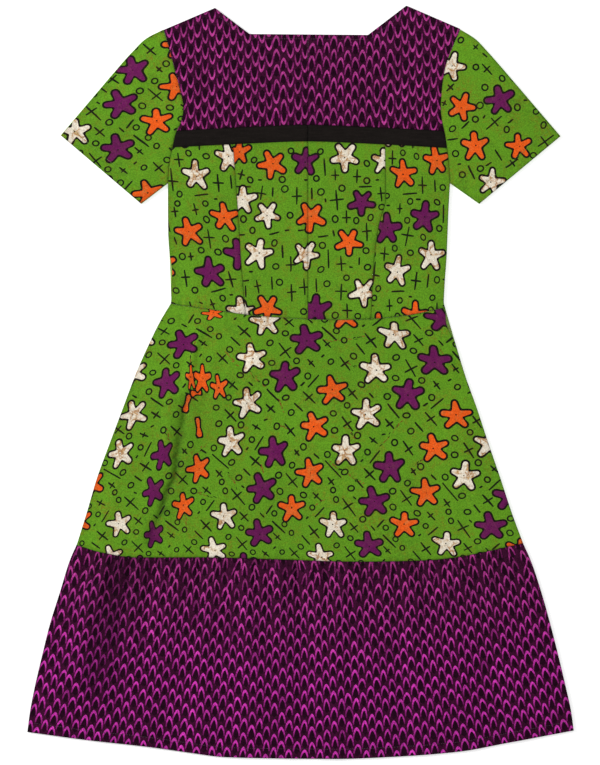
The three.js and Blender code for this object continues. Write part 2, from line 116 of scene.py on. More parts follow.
REPEAT_BARS = [  # x, y, turn, length
    (37, -92, 42, 13), (27, -99, -42, 10), (106, -101, 53, 21), (50, -117, -47, 32), (87, -137, -50, 14),
    (30, -175, 46, 19), (-37, -179, -50, 25), (116, -192, 47, 15), (-31, -193, -50, 26), (-4, -204, 1, 16),
    (7, -215, -55, 18), (-5, -247, -54, 15), (-54, -257, 49, 21), (36, -274, -1, 17), (50, -296, -48, 24),
    (84, -315, -46, 16), (89, -106, 38, 4), (42, -148, 33, 5), (80, -156, -46, 5), (12, -182, 31, 4),
    (105, -199, -53, 9), (-41, -224, 39, 5), (-37, -234, 39, 5), (-18, -245, 47, 6), (21, -277, -48, 8),
    (90, -285, 41, 7), (-53, -289, 62, 8), (39, -327, 10, 5), (80, -334, -41, 5),
]
# How the cloth lies in the skirt, as a smooth cubic; elsewhere it lies straight.
LAY_X = (-6.28, 201.46, -6.86, 8.56, 20.64, -14.51, 0.12, 1.72, 0.15, -13.23)
LAY_Y = (1.41, 16.95, 200.89, -22.75, 5.35, -15.50, 0.55, -10.87, -1.69, -18.13)
STRAIGHT = {  # x = a + b u + c v, y = d + e u + f v
    'side_left': (-181.7, -0.864, -0.489, 743.5, 0.599, -0.778),
    'side_right': (95.7, -0.668, -0.609, 749.5, 0.678, -0.742),
    'sleeve_left': (206.7, 1.084, -0.095, 8.4, 0.130, 0.910),
    'front_bodice': (30.0, -0.70, -0.70, 60.0, 0.70, -0.70),
    'front_skirt': (18.0, 1.0, 0.05, 30.0, -0.05, 1.0),
}
# Three smaller pieces are charted motif by motif: stars, rings, crosses, bars.
CHARTS = {
    'centre_left': (
        [('O', -82, 306, 17, 90), ('O', -38, 290, 19, 264), ('W', -44, 223, 18, 270), ('W', -77, 242, 19, 90),
         ('W', -56, 171, 20, 75), ('O', -44, 98, 18.5, 270), ('W', -74, 96, 12.5, 90), ('P', 7, 294, 18.5, 90),
         ('W', 7, 169, 18.5, 65), ('O', 13, 220, 20, 270)],
        [(-60, 295), (-12, 307), (-67, 269), (-26, 272), (-21, 257), (-14, 222), (-76, 217), (-64, 202), (-35, 185),
         (-33, 154), (-28, 133), (4, 94)],
        [(-52, 252, 80, 19), (-5, 248, 92, 23), (-79, 276, 75, 14), (-57, 127, 100, 18), (-12, 158, 90, 20),
         (-12, 119, 92, 23), (5, 127, 92, 22)],
        [(-76, 260, 0, 20), (-37, 253, 85, 12), (-10, 287, 75, 23), (-24, 174, 92, 17), (-35, 198, 12, 14),
         (-73, 121, 92, 15), (-38, 132, 92, 17), (-73, 135, 5, 9), (-79, 196, 0, 10), (-18, 202, 0, 6),
         (-20, 203, 90, 6), (1, 202, 10, 9), (-54, 269, 0, 5), (-19, 248, 90, 6), (7, 269, 0, 4), (-66, 147, 0, 5),
         (-24, 120, 90, 5)]),
    'centre_right': (
        [('O', 13, 220, 20, 270), ('W', 59, 300, 20, 265), ('P', 81, 239, 17.5, 270), ('W', 111, 294, 17.5, 90),
         ('O', 64, 186, 18.5, 275), ('W', 83, 120, 19, 270), ('P', 20, 96, 21, 90), ('P', 6, 294, 18.5, 90), ('W', 7, 169, 18.5, 65)],
        [(22, 304), (21, 271), (88, 291), (55, 258), (27, 253), (88, 268), (46, 217), (74, 215), (93, 219), (108, 233),
         (29, 182), (87, 175), (89, 153), (27, 150), (61, 139), (35, 131), (46, 89), (76, 88)],
        [(46, 276, 90, 15), (75, 274, 90, 18), (48, 242, 95, 27), (107, 250, 95, 19), (61, 220, 90, 17),
         (88, 200, 92, 24), (54, 158, 92, 20), (62, 95, 90, 19), (54, 120, 90, 22)],
        [(32, 286, 95, 23), (29, 313, 5, 8), (86, 260, 0, 17), (15, 251, 90, 15), (30, 194, 5, 14), (37, 164, 92, 25),
         (21, 129, 92, 18), (44, 198, 100, 8), (33, 242, 95, 5), (102, 269, 0, 4), (67, 153, -10, 4), (78, 161, 90, 10)]),
    'sleeve_right': (
        [('W', 200, 420, 19, 75), ('O', 214, 366, 19, 65), ('P', 265, 375, 19.5, 103), ('O', 232, 314, 19.5, 93),
         ('O', 290, 314, 17.5, 100), ('W', 254, 266, 18, 80)],
        [(213, 455), (233, 419), (268, 404), (245, 392), (238, 368), (232, 350), (287, 366), (274, 336), (323, 342),
         (309, 302), (206, 304), (215, 276), (240, 283), (202, 337), (313, 360)],
        [(233, 446, 45, 9), (248, 416, -45, 20), (199, 392, 45, 14), (257, 345, 40, 27), (296, 359, -48, 29),
         (326, 321, 35, 26), (281, 291, 35, 20), (208, 273, -60, 24), (191, 371, 60, 8)],
        [(237, 393, -60, 17), (219, 342, 45, 14), (263, 302, -60, 17), (227, 279, -65, 20), (202, 323, 5, 14),
         (245, 435, -40, 8), (281, 402, -45, 6), (279, 347, 35, 9), (299, 375, 0, 5), (289, 282, 30, 6),
         (211, 290, 0, 4), (250, 290, 35, 9), (244, 353, 60, 5)]),
}


def to_stroke(px, py, x, y, turn, length):
    c, s = math.cos(math.radians(turn)), math.sin(math.radians(turn))
    t = max(-length / 2, min(length / 2, (px - x) * c + (py - y) * s))
    return math.hypot(px - x - t * c, py - y - t * s)


def clear_marks(stars, rings, crosses, bars, shifts=((0, 0),)):
    """Marks stand apart, and clear of the stars, so that no two of them run together."""
    around = [(row[1] + sx, row[2] + sy, row[3]) for row in stars for sx, sy in shifts]

    def push(x, y, need):
        for _ in range(2):
            for a, b, r in around:
                d = math.hypot(x - a, y - b)
                if 0.1 < d < r + need:
                    x, y = a + (x - a) * (r + need) / d, b + (y - b) * (r + need) / d
        return x, y
    keep_r = []
    for x, y in rings:
        if any(math.hypot(x - a, y - b) < r * 0.6 for a, b, r in around):
            continue
        x, y = push(x, y, 5.5)
        if all(math.hypot(x - a - sx, y - b - sy) > 12 for a, b in keep_r for sx, sy in shifts):
            keep_r.append((x, y))
    strokes = []

    def free(x, y, turn, length, gap):
        if any(to_stroke(a, b, x, y, turn, length) < r * 0.86 for a, b, r in around):
            return False
        for sx, sy in shifts:
            if any(to_stroke(a + sx, b + sy, x, y, turn, length) < 5.2 + gap for a, b in keep_r):
                return False
            c, s = math.cos(math.radians(turn)), math.sin(math.radians(turn))
            for a, b, t, n in strokes:
                for k in (-0.5, 0, 0.5):
                    if to_stroke(x + k * length * c, y + k * length * s, a + sx, b + sy, t, n) < 2.5 + gap:
                        return False
                    c2, s2 = math.cos(math.radians(t)), math.sin(math.radians(t))
                    if to_stroke(a + sx + k * n * c2, b + sy + k * n * s2, x, y, turn, length) < 2.5 + gap:
                        return False
        return True
    keep_c, keep_b = [], []
    for x, y, t, n in crosses:
        x, y = push(x, y, 4.5)
        for m in (n, n * 0.85, n * 0.7, n * 0.55):
            if free(x, y, t, m, 1.6) and free(x, y, t + 90, max(7.5, m * 0.7), 1.6):
                keep_c.append((x, y, t, m))
                strokes += [(x, y, t, m), (x, y, t + 90, max(7.5, m * 0.7))]
                break
    for x, y, t, n in bars:
        for m in (n, n * 0.8, n * 0.6):
            if free(x, y, t, m, 2.4) and m > 3.5:
                keep_b.append((x, y, t, m))
                strokes.append((x, y, t, m))
                break
    return keep_r, keep_c, keep_b


REPEAT_RINGS, REPEAT_CROSSES, REPEAT_BARS = clear_marks(
    REPEAT_STARS, REPEAT_RINGS, REPEAT_CROSSES, REPEAT_BARS,
    [(i * REPEAT_A[0] + j * REPEAT_B[0], i * REPEAT_A[1] + j * REPEAT_B[1]) for i in (-1, 0, 1) for j in (-1, 0, 1)])
CHARTS = {k: (v[0], *clear_marks(*v)) for k, v in CHARTS.items()}


# ---- curves through the tables -------------------------------------------------
def curve(rows):
    """Smooth curve that doesn't overshoot its rows; past the ends it keeps the end value."""
    rows = sorted(rows)
    u = np.array([r[0] for r in rows], float)
    v = np.array([r[1] for r in rows], float)
    n = len(u)
    d = (v[1:] - v[:-1]) / (u[1:] - u[:-1])
    m = np.zeros(n)
    m[0], m[-1] = d[0], d[-1]
    for i in range(1, n - 1):
        if d[i - 1] * d[i] > 0:
            a, b = u[i] - u[i - 1], u[i + 1] - u[i]
            w1, w2 = 2 * b + a, b + 2 * a
            m[i] = (w1 + w2) / (w1 / d[i - 1] + w2 / d[i])

    def f(q):
        q = np.clip(np.asarray(q, float), u[0], u[-1])
        i = np.clip(np.searchsorted(u, q, side="right") - 1, 0, n - 2)
        h = u[i + 1] - u[i]
        t = (q - u[i]) / h
        return (v[i] * (2 * t**3 - 3 * t**2 + 1) + m[i] * h * (t**3 - 2 * t**2 + t)
                + v[i + 1] * (3 * t**2 - 2 * t**3) + m[i + 1] * h * (t**3 - t**2))
    return f


def line(rows):
    u = [r[0] for r in rows]
    v = [r[1] for r in rows]
    return lambda q: np.interp(q, u, v)


def smooth(t):
    c = np.clip(t, 0, 1)
    return c * c * (3 - 2 * c)


def col(rows, k):
    return curve([(r[0], r[k]) for r in rows])


armhole = {"left": col(ARMHOLE, 1), "right": col(ARMHOLE, 2)}
bodice = {"left": col(BODICE, 1), "right": col(BODICE, 2)}
skirt = {"left": col(SKIRT, 1), "right": col(SKIRT, 2)}
flounce = {"left": col(FLOUNCE, 1), "right": col(FLOUNCE, 2)}
princess = {"left": col(PRINCESS, 1), "right": col(PRINCESS, 2)}
band_top, band_bottom = col(BAND, 1), col(BAND, 2)
waist, flounce_seam, hem = curve(WAIST), curve(FLOUNCE_SEAM), curve(HEM)
neck, neck_front = line(NECKLINE), line(NECKFRONT)


def side(which, y):
    y = np.asarray(y, float)
    return np.where(y >= 265.1, armhole[which](y),
                    np.where(y >= 106.0, bodice[which](y),
                             np.where(y >= -215.1, skirt[which](y), flounce[which](y))))


def roll(which, y):
    r = 0.0 * np.asarray(y, float)
    for w, sy, reach, by in SEAM_ROLL:
        if w == which:
            r = np.maximum(r, by * smooth(1 - np.abs(y - sy) / reach))
    return r


# ---- relief -----------------------------------------------------------------------
OUTLINE = list(NECKLINE)
OUTLINE += [(p[1], p[2]) for p in SLEEVE["right"][0][1:]] + [SLEEVE["right"][1][1][1:]]
OUTLINE += [(float(side("right", y)), float(y)) for y in range(265, -463, -26)]
OUTLINE += HEM[::-1]
OUTLINE += [(float(side("left", y)), float(y)) for y in range(-450, 266, 26)]
OUTLINE += [SLEEVE["left"][1][1][1:]] + [(p[1], p[2]) for p in SLEEVE["left"][0][:0:-1]]


def to_segment(x, y, ax, ay, bx, by):
    dx, dy = bx - ax, by - ay
    t = np.clip(((x - ax) * dx + (y - ay) * dy) / (dx * dx + dy * dy), 0, 1)
    return np.hypot(x - ax - t * dx, y - ay - t * dy), t


def edge_distance(x, y):
    best = np.full(np.shape(x), 1e9)
    for a, b in zip(OUTLINE, OUTLINE[1:] + OUTLINE[:1]):
        best = np.minimum(best, to_segment(x, y, a[0], a[1], b[0], b[1])[0])
    return best


def lift(x, y, inset):
    h = AIR * inset
    for x0, y0, x1, y1, wide, high in FOLDS:
        h = h + high * np.exp(-((to_segment(x, y, x0, y0, x1, y1)[0] / wide) ** 2)) * inset
    seam = flounce_seam(x)
    down = np.clip((seam - y) / 255, 0, 1)
    rise = smooth(down / 0.3) * (1 - 0.55 * down)
    side_in = smooth(np.minimum(x - flounce["left"](y), flounce["right"](y) - x) / 30)
    for top, low, wide, high in PLEATS:
        cx = top + (low - top) * down
        h = h + np.where(y < seam, high * rise * side_in * np.exp(-(((x - cx) / wide) ** 2)), 0.0)
    return np.minimum(h, MAX_LIFT)


def waves(seed, count, shortest, longest):
    r = random.Random(seed)
    rows = []
    for _ in range(count):
        a, w = r.uniform(0, math.tau), r.uniform(shortest, longest)
        rows.append((math.tau * math.cos(a) / w, math.tau * math.sin(a) / w, r.uniform(0, math.tau)))
    return rows


def ripple(rows, x, y):
    return sum(np.sin(a * x + b * y + c) for a, b, c in rows) / math.sqrt(len(rows))


BROAD = waves(3, 7, 70, 190)
FINE = waves(5, 9, 18, 48)
PUCKER = waves(9, 8, 7, 17)

# Creases of the upper layer: ends, half width, height (a trough is
# less than nought). They are as uneven as they lie.
CREASES = [
    (-134, 63, -147, 23, 4.5, 0.9), (-147, 23, -151, -10, 4.0, 0.8), (-128, 60, -141, 20, 3.0, -0.7),
    (-152, -24, -160, -73, 3.6, -1.6), (-160, -73, -165, -107, 3.4, -1.9), (-165, -107, -170, -133, 3.2, -2.0),
    (-170, -133, -179, -153, 3.2, -1.9), (-179, -153, -188, -178, 3.4, -1.6), (-188, -178, -200, -205, 4.2, -1.1),
    (-141, -30, -152, -110, 9.0, 1.5), (-152, -110, -176, -172, 8.0, 1.3), (-172, -30, -181, -120, 8.0, 0.9),
    (-112, 50, -124, 8, 5.0, 0.6), (-120, 6, -128, -40, 4.0, -0.5), (-100, 40, -108, 0, 4.0, -0.4),
    (202, 50, 212, 10, 4.0, -0.6), (196, 44, 205, 4, 4.5, 0.6), (176, 60, 190, 22, 5.0, 0.5),
    (-60, 60, -66, 10, 6.0, 0.4), (40, 70, 44, 20, 7.0, 0.4), (110, 66, 120, 20, 6.0, 0.4), (150, 40, 163, -30, 8.0, 0.4),
    (-30, -80, -42, -190, 11.0, 0.5), (130, -70, 150, -190, 12.0, 0.5), (-90, -70, -108, -180, 10.0, 0.5),
    (5, -20, 8, -110, 9.0, 0.35), (220, -110, 246, -205, 10.0, 0.6), (-232, -80, -262, -200, 9.0, 0.6),
    (-150, 250, -120, 236, 6.0, 0.5), (-160, 200, -134, 196, 5.0, 0.4), (170, 246, 140, 232, 6.0, 0.5),
    (176, 190, 150, 186, 5.0, 0.4), (-40, 240, -44, 180, 8.0, 0.35), (60, 250, 62, 196, 8.0, 0.35),
    (-196, 420, -250, 350, 9.0, 0.7), (-190, 380, -250, 300, 8.0, -0.5), (-185, 300, -215, 270, 6.0, 0.6),
    (-200, 440, -280, 345, 6.0, 0.5), (226, 420, 280, 350, 9.0, 0.7), (214, 380, 270, 300, 8.0, -0.5),
    (206, 300, 236, 270, 6.0, 0.6), (232, 440, 300, 350, 6.0, 0.5), (-130, 470, -140, 380, 8.0, 0.5),
    (160, 470, 166, 380, 8.0, 0.5), (-60, 440, -40, 370, 10.0, 0.4), (70, 440, 60, 370, 10.0, 0.4),
]

_g = random.Random(21)
GATHERS = []                # x at the seam, how far it runs down, half width, height, lean
_x = -292.0
while _x < 292:
    GATHERS.append((_x, _g.uniform(26, 120) * (1.25 if _x < -150 else 1.0), _g.uniform(2.4, 5.2),
                    _g.uniform(0.7, 1.9) * (1.35 if _x < -190 else 1.0) * _g.choice((1, 1, -0.8)), _g.uniform(-0.05, 0.05)))
    _x += _g.uniform(6, 15)


def exact_z(x, y, far):
    """Top of the upper layer, but for the roll of its very edge."""
    x = np.asarray(x, float)
    y = np.asarray(y, float)
    inset = smooth(far / AIR_EDGE)
    near_in = smooth(far / 12)
    z = TOP0 + lift(x, y, inset)
    z = z + inset * (0.42 * ripple(BROAD, x, y) + 0.15 * ripple(FINE, x, y))
    wob = 2.2 * np.sin(x * 0.11 + y * 0.07) + 1.4 * np.sin(y * 0.19 - x * 0.05)
    for x0, y0, x1, y1, wide, high in CREASES:
        d, t = to_segment(x + wob * 0.5, y, x0, y0, x1, y1)
        z = z + near_in * high * np.exp(-((d / wide) ** 2)) * (0.35 + 0.65 * np.sin(math.pi * np.clip(0.12 + 0.76 * t, 0, 1)))
    # seams: a groove, and the puckers beside it
    body = (x > side("left", y) - 1) & (x < side("right", y) + 1)
    fs = flounce_seam(x)
    w = waist(x)
    for d, deep, pk, reach in ((np.abs(y - w), 0.55, 0.34, 15), (np.abs(y - fs), 0.6, 0.30, 12),
                               (np.abs(y - band_top(x)), 0.35, 0.10, 7), (np.abs(y - band_bottom(x)), 0.35, 0.12, 8)):
        g = -deep * np.exp(-((d / 1.7) ** 2)) + pk * np.exp(-d / reach) * ripple(PUCKER, x * 1.25, y * 0.35)
        z = z + np.where(body, g * (0.3 + 0.7 * near_in), 0.0)
    in_bodice = body & (y < band_bottom(x)) & (y > w)
    for d in (np.abs(x - princess["left"](y)), np.abs(x - princess["right"](y)), np.abs(x - CENTRE_X)):
        g = -0.45 * np.exp(-((d / 1.6) ** 2)) + 0.16 * np.exp(-d / 8) * ripple(PUCKER, x * 0.4, y * 1.1)
        z = z + np.where(in_bodice, g * near_in, 0.0)
    d = np.abs(x - CENTRE_X)
    z = z + np.where(body & (y > band_bottom(x)), -0.35 * np.exp(-((d / 1.6) ** 2)) * near_in, 0.0)
    # armhole seams
    for which, s in (("left", -1), ("right", 1)):
        d = np.abs(x - side(which, y))
        arm = (y > 262) & (d < 30)
        z = z + np.where(arm, -0.5 * np.exp(-((d / 1.8) ** 2)) + 0.2 * np.exp(-d / 8) * ripple(PUCKER, x * 0.4, y), 0.0)
    # gathers under the flounce seam
    down = fs - y
    gz = np.zeros_like(x)
    for gx, run, wide, high, lean in GATHERS:
        cx = gx * (1 + 0.0008 * down) + lean * down
        f = np.exp(-(((x - cx) / (wide * (1 + down / 160))) ** 2))
        gz = gz + high * f * smooth(down / 5) * np.exp(-((np.maximum(down, 0) / run) ** 1.6))
    z = z + np.where(down > 0, gz * near_in, 0.0)
    return np.clip(z, 2.15, 7.5)


def inside_mask(loop, pts):
    x, y = pts[:, 0], pts[:, 1]
    hit = np.zeros(len(pts), bool)
    for (ax, ay), (bx, by) in zip(loop, loop[1:] + loop[:1]):
        if ay != by:
            c = (ay > y) != (by > y)
            hit ^= c & (x < (bx - ax) * (y - ay) / (by - ay) + ax)
    return hit


# The relief is worked out once, on a grid of 1.25 mm, and read off it.
GRID, GX0, GY0, GNX, GNY = 1.25, -384.0, -520.0, 615, 833
_gx, _gy = np.meshgrid(GX0 + GRID * np.arange(GNX), GY0 + GRID * np.arange(GNY), indexing="ij")
_cx, _cy = np.meshgrid(GX0 + 2 * GRID * np.arange((GNX + 1) // 2), GY0 + 2 * GRID * np.arange((GNY + 1) // 2), indexing="ij")
_cd = edge_distance(_cx, _cy)
_ci = inside_mask(OUTLINE, np.stack([_cx.ravel(), _cy.ravel()], 1)).reshape(_cx.shape)
_cd = np.where(_ci, _cd, -_cd)
FAR = np.zeros((GNX, GNY))
FAR[::2, ::2] = _cd
FAR[1:-1:2, ::2] = (_cd[:-1] + _cd[1:]) / 2
FAR[:, 1:-1:2] = (FAR[:, :-2:2] + FAR[:, 2::2]) / 2
HEIGHT = exact_z(_gx, _gy, np.maximum(FAR, 0))
LOWEST = HEIGHT.copy()
for _k in range(6):
    for _a in (0, 1):
        LOWEST = np.minimum(LOWEST, np.minimum(np.roll(LOWEST, 1, _a), np.roll(LOWEST, -1, _a)))
SLOPE_X, SLOPE_Y = np.gradient(HEIGHT, GRID)


def read(table, x, y):
    u = np.clip((np.asarray(x, float) - GX0) / GRID, 0, GNX - 1.001)
    v = np.clip((np.asarray(y, float) - GY0) / GRID, 0, GNY - 1.001)
    i, j = u.astype(int), v.astype(int)
    a, b = u - i, v - j
    return (table[i, j] * (1 - a) * (1 - b) + table[i + 1, j] * a * (1 - b)
            + table[i, j + 1] * (1 - a) * b + table[i + 1, j + 1] * a * b)


def upper_z(x, y):
    """Top of the upper layer; its edge rolls down."""
    return read(HEIGHT, x, y) - 0.32 * np.exp(-((np.maximum(read(FAR, x, y), 0) / 0.9) ** 2))


def upper_low(x, y):
    """Wrong side of the upper layer."""
    return np.maximum(read(LOWEST, x, y) - CLOTH, 1.15)


def lower_z(x, y):
    return np.full(np.shape(x), 0.9)


def normals_of(f, x, y):
    if f is lower_z:
        return np.tile((0.0, 0.0, 1.0), (len(x), 1))
    n = np.stack([-read(SLOPE_X, x, y), -read(SLOPE_Y, x, y), np.ones(len(x))], 1)
    return n / np.linalg.norm(n, axis=1)[:, None]


# ---- colours (as printed, sRGB 0-255) ------------------------------------------------
def lin(c):
    c = np.asarray(c, float) / 255
    return np.where(c <= 0.04045, c / 12.92, ((c + 0.055) / 1.055) ** 2.4)


GROUND, INK, ORANGE, PURPLE, CREAM, THIN, PLUM, ARCH, LEAF, BLACK, PALE, RUST = range(12)
TINT = {
    GROUND: (96, 151, 26), INK: (20, 11, 8), ORANGE: (238, 92, 20), PURPLE: (104, 16, 84), CREAM: (240, 230, 210),
    THIN: (17, 22, 6), PLUM: (57, 11, 42), ARCH: (188, 62, 164), LEAF: (34, 4, 25), BLACK: (24, 20, 18),
    PALE: (132, 172, 84), RUST: (126, 84, 30),
}
LIN = {k: lin(v) for k, v in TINT.items()}
LEG = lin((104, 18, 84))
TIP = {"bright": lin((202, 54, 172)), "dull": lin((178, 60, 140))}


# ---- motifs ----------------------------------------------------------------------------
def star_loop(arms, tip, notch, cut):
    """Outline of a five-armed star: arms = (turn, length) pairs; cut moves it inwards."""
    pts = []
    n = len(arms)
    for k in range(n):
        a, length = arms[k]
        a0 = arms[k - 1][0] - (360 if k == 0 else 0)
        mid = math.radians((a0 + a) / 2)
        rn = notch[k] - cut * 1.2
        for s in (-0.10, 0.10):
            pts.append((rn * 1.01 * math.cos(mid + s), rn * 1.01 * math.sin(mid + s)))
        w = tip[k] - cut
        c = length - tip[k]
        ar = math.radians(a)
        for s in (-84, -50, -17, 17, 50, 84):
            t = ar + math.radians(s)
            pts.append((c * math.cos(ar) + w * math.cos(t), c * math.sin(ar) + w * math.sin(t)))
    return pts


def star(kind, x, y, r, turn, seed, squeeze=1.0):
    q = random.Random(seed)
    arms = [(turn + 72 * k + q.uniform(-7, 7), r * q.uniform(1.07, 1.20)) for k in range(5)]
    tip = [r * q.uniform(0.265, 0.325) for _ in range(5)]
    notch = [r * q.uniform(0.57, 0.66) for _ in range(5)]
    out = []
    fill = {'O': ORANGE, 'P': PURPLE, 'W': CREAM}[kind]
    shade = q.uniform(0.93, 1.05)
    for cut, cls in ((0.0, INK), (2.85, fill)):
        out.append((cls, [(x + px * squeeze, y + py) for px, py in star_loop(arms, tip, notch, cut)], shade))
    dx, dy, dr = q.uniform(-1.5, 1.5), q.uniform(-1.5, 1.5), q.uniform(0.8, 1.3)
    out.append((INK, [(x + dx + dr * math.cos(a), y + dy + dr * math.sin(a)) for a in (0.2, 1.4, 2.7, 3.9, 5.1)], 1.0))
    return out


def bar_loop(x, y, turn, length, thick, q):
    a = math.radians(turn + q.uniform(-3, 3))
    c, s = math.cos(a), math.sin(a)
    h = length / 2
    pts = []
    for u, v in ((-h, -0.35), (-h * 0.4, -0.5), (h * 0.45, -0.42), (h, -0.3), (h + 0.3, 0.05), (h, 0.36), (h * 0.4, 0.5),
                 (-h * 0.45, 0.45), (-h, 0.38), (-h - 0.3, 0.0)):
        v = v * thick * q.uniform(0.85, 1.2)
        pts.append((x + c * u - s * v, y + s * u + c * v))
    return pts


def sliver(x, y, turn, length, thick, seed):
    """What still shows of a star that a fold takes in."""
    q = random.Random(seed)
    c, t = math.cos(math.radians(turn)), math.sin(math.radians(turn))
    up, down = [], []
    for u, w in ((-0.5, 0.35), (-0.46, 0.9), (-0.34, 1.25), (-0.18, 0.85), (0.0, 0.55), (0.2, 0.75), (0.38, 0.95), (0.5, 0.4)):
        up.append((u, w * q.uniform(0.85, 1.15)))
        down.append((u, -w * q.uniform(0.85, 1.15)))
    out = []
    for cls, grow in ((INK, 2.2), (ORANGE, 0.0)):
        pts = []
        for u, w in down + up[::-1]:
            a, b = u * (length + 2 * grow), w * thick / 2 + math.copysign(grow, w)
            pts.append((x + c * a - t * b, y + t * a + c * b))
        out.append((cls, pts, 1.0))
    return out


def without(polys, x, y, near=16):
    """Leaves out the star whose middle lies near a point."""
    keep = []
    for p in polys:
        xs, ys = [v[0] for v in p[1]], [v[1] for v in p[1]]
        if p[0] in (INK, ORANGE, PURPLE, CREAM) and math.hypot((min(xs) + max(xs)) / 2 - x, (min(ys) + max(ys)) / 2 - y) < near:
            continue
        keep.append(p)
    return keep


def streak(x0, y0, x1, y1, seed):
    """A broken streak where the dye has cracked and run."""
    q = random.Random(seed)
    far, way = math.hypot(x1 - x0, y1 - y0), math.degrees(math.atan2(y1 - y0, x1 - x0))
    n = int(far / 3.6) + 1
    out = []
    for k in range(n):
        t = (k + q.uniform(0, 0.8)) / n
        x, y = x0 + (x1 - x0) * t + q.uniform(-1.6, 1.6), y0 + (y1 - y0) * t + q.uniform(-1.6, 1.6)
        out.append((RUST if q.random() < 0.75 else THIN,
                    bar_loop(x, y, way + q.uniform(-34, 34), q.uniform(2.4, 6.0), q.uniform(0.7, 1.5), q), q.uniform(0.65, 1.25)))
    return out


def bar(x, y, turn, length, seed):
    q = random.Random(seed)
    return [(THIN, bar_loop(x, y, turn, max(length, 4.5), q.uniform(2.3, 2.9), q), 1.0)]


def cross(x, y, turn, length, seed):
    q = random.Random(seed)
    t = q.uniform(2.3, 2.9)
    o = length * q.uniform(-0.08, 0.08)
    a = math.radians(turn)
    return [(THIN, bar_loop(x, y, turn, length, t, q), 1.0),
            (THIN, bar_loop(x + o * math.cos(a), y + o * math.sin(a), turn + 90, max(7.5, length * q.uniform(0.5, 0.72)), t, q), 1.0)]


def ring(x, y, seed, inside=GROUND):
    q = random.Random(seed)
    ra, rb, a0, w = q.uniform(4.3, 5.2), q.uniform(4.6, 5.7), q.uniform(0, math.pi), q.uniform(1.95, 2.35)
    out = []
    for cut, cls in ((0.0, THIN), (w, inside)):
        pts = []
        for k in range(13):
            t = math.tau * k / 13
            px, py = (ra - cut) * math.cos(t), (rb - cut) * math.sin(t)
            pts.append((x + px * math.cos(a0) - py * math.sin(a0), y + px * math.sin(a0) + py * math.cos(a0)))
        out.append((cls, pts, 1.0))
    return out


def in_box(x, y, b, pad):
    return b[0] - pad < x < b[2] + pad and b[1] - pad < y < b[3] + pad


def repeat_print(lay, box, fabric=None):
    """The repeat laid on a panel: lay(u, v) -> (x, y)."""
    low, high = [], []
    for i in range(-9, 10):
        for j in range(-6, 7):
            ou, ov = i * REPEAT_A[0] + j * REPEAT_B[0], i * REPEAT_A[1] + j * REPEAT_B[1]

            def put(make, into, u, v, *rest):
                if fabric and not (fabric[0] < u < fabric[2] and fabric[1] < v < fabric[3]):
                    return
                if in_box(*lay(u, v), box, 24):
                    into += [(c, [lay(px, py) for px, py in pts], s) for c, pts, s in make(u, v, *rest)]
            for k, (u, v, *_) in enumerate(REPEAT_RINGS):
                put(ring, low, u + ou, v + ov, 1000 + k)
            for k, (u, v, a, ln) in enumerate(REPEAT_CROSSES):
                put(cross, low, u + ou, v + ov, a, ln, 2000 + k)
            for k, (u, v, a, ln) in enumerate(REPEAT_BARS):
                put(bar, low, u + ou, v + ov, a, ln, 3000 + k)
            for k, (kind, u, v, r, a) in enumerate(REPEAT_STARS):
                put(lambda x, y, kind=kind, r=r, a=a, k=k: star(kind, x, y, r, a, 4000 + k), high, u + ou, v + ov)
    return low + high


def chart_print(name):
    stars, rings, crosses, bars = CHARTS[name]
    out = []
    for k, (x, y) in enumerate(rings):
        out += ring(x, y, 100 + k)
    for k, (x, y, a, ln) in enumerate(crosses):
        out += cross(x, y, a, ln, 200 + k)
    for k, (x, y, a, ln) in enumerate(bars):
        out += bar(x, y, a, ln, 300 + k)
    for k, (kind, x, y, r, a) in enumerate(stars):
        out += star(kind, x, y, r, a, 400 + k + len(name))
    return out


def straight(name):
    a, b, c, d, e, f = STRAIGHT[name]
    return lambda u, v: (a + b * u + c * v, d + e * u + f * v)


def skirt_lay(u, v):
    x, y = u / 200, v / 200
    t = (1.0, x, y, x * x, x * y, y * y, x**3, x * x * y, x * y * y, y**3)
    return sum(a * b for a, b in zip(LAY_X, t)), sum(a * b for a, b in zip(LAY_Y, t))


def arch(x, y, turn, w, h, seed, tip):
    """A pointed arch with a dark leaf in it; turn 0 points up."""
    q = random.Random(seed)
    w *= q.uniform(0.88, 1.10)
    h *= q.uniform(0.90, 1.08)
    skew = q.uniform(-1.1, 1.1)
    c, s = math.cos(turn), math.sin(turn)

    def put(px, py):
        px += skew * (py / h - 0.5)
        return (x + c * px - s * py, y + s * px + c * py)

    def bow(u, wide):
        return wide * (u * (2 - u)) ** 0.62
    u0, leg = q.uniform(0.24, 0.29), q.uniform(1.3, 1.8)
    outer_r = [(bow(u, w / 2), h * (1 - u)) for u in (0.05, 0.14, 0.3, 0.52, 0.75, 1.0)]
    outer_l = [(-a, b) for a, b in outer_r[::-1]]
    inner_r = [(bow(v, w / 2 - leg - 0.7 * (1 - v)), h * (1 - u0 - v * (1 - u0))) for v in (1.0, 0.66, 0.36, 0.12)]
    inner_l = [(-a, b) for a, b in inner_r[::-1]]
    crescent = [put(*p) for p in outer_l + [(0.0, h)] + outer_r + inner_r + [(0.0, h * (1 - u0))] + inner_l]
    leaf = [put(*p) for p in inner_r + [(0.0, h * (1 - u0))] + inner_l + [(-w * 0.15, -h * 0.16), (0.0, -h * 0.26), (w * 0.15, -h * 0.16)]]
    up = (-s, c)
    shade = q.uniform(0.84, 1.1)
    return [(LEAF, leaf, 1.0), (ARCH, crescent, shade, (x, y, up[0], up[1], h, tip))]


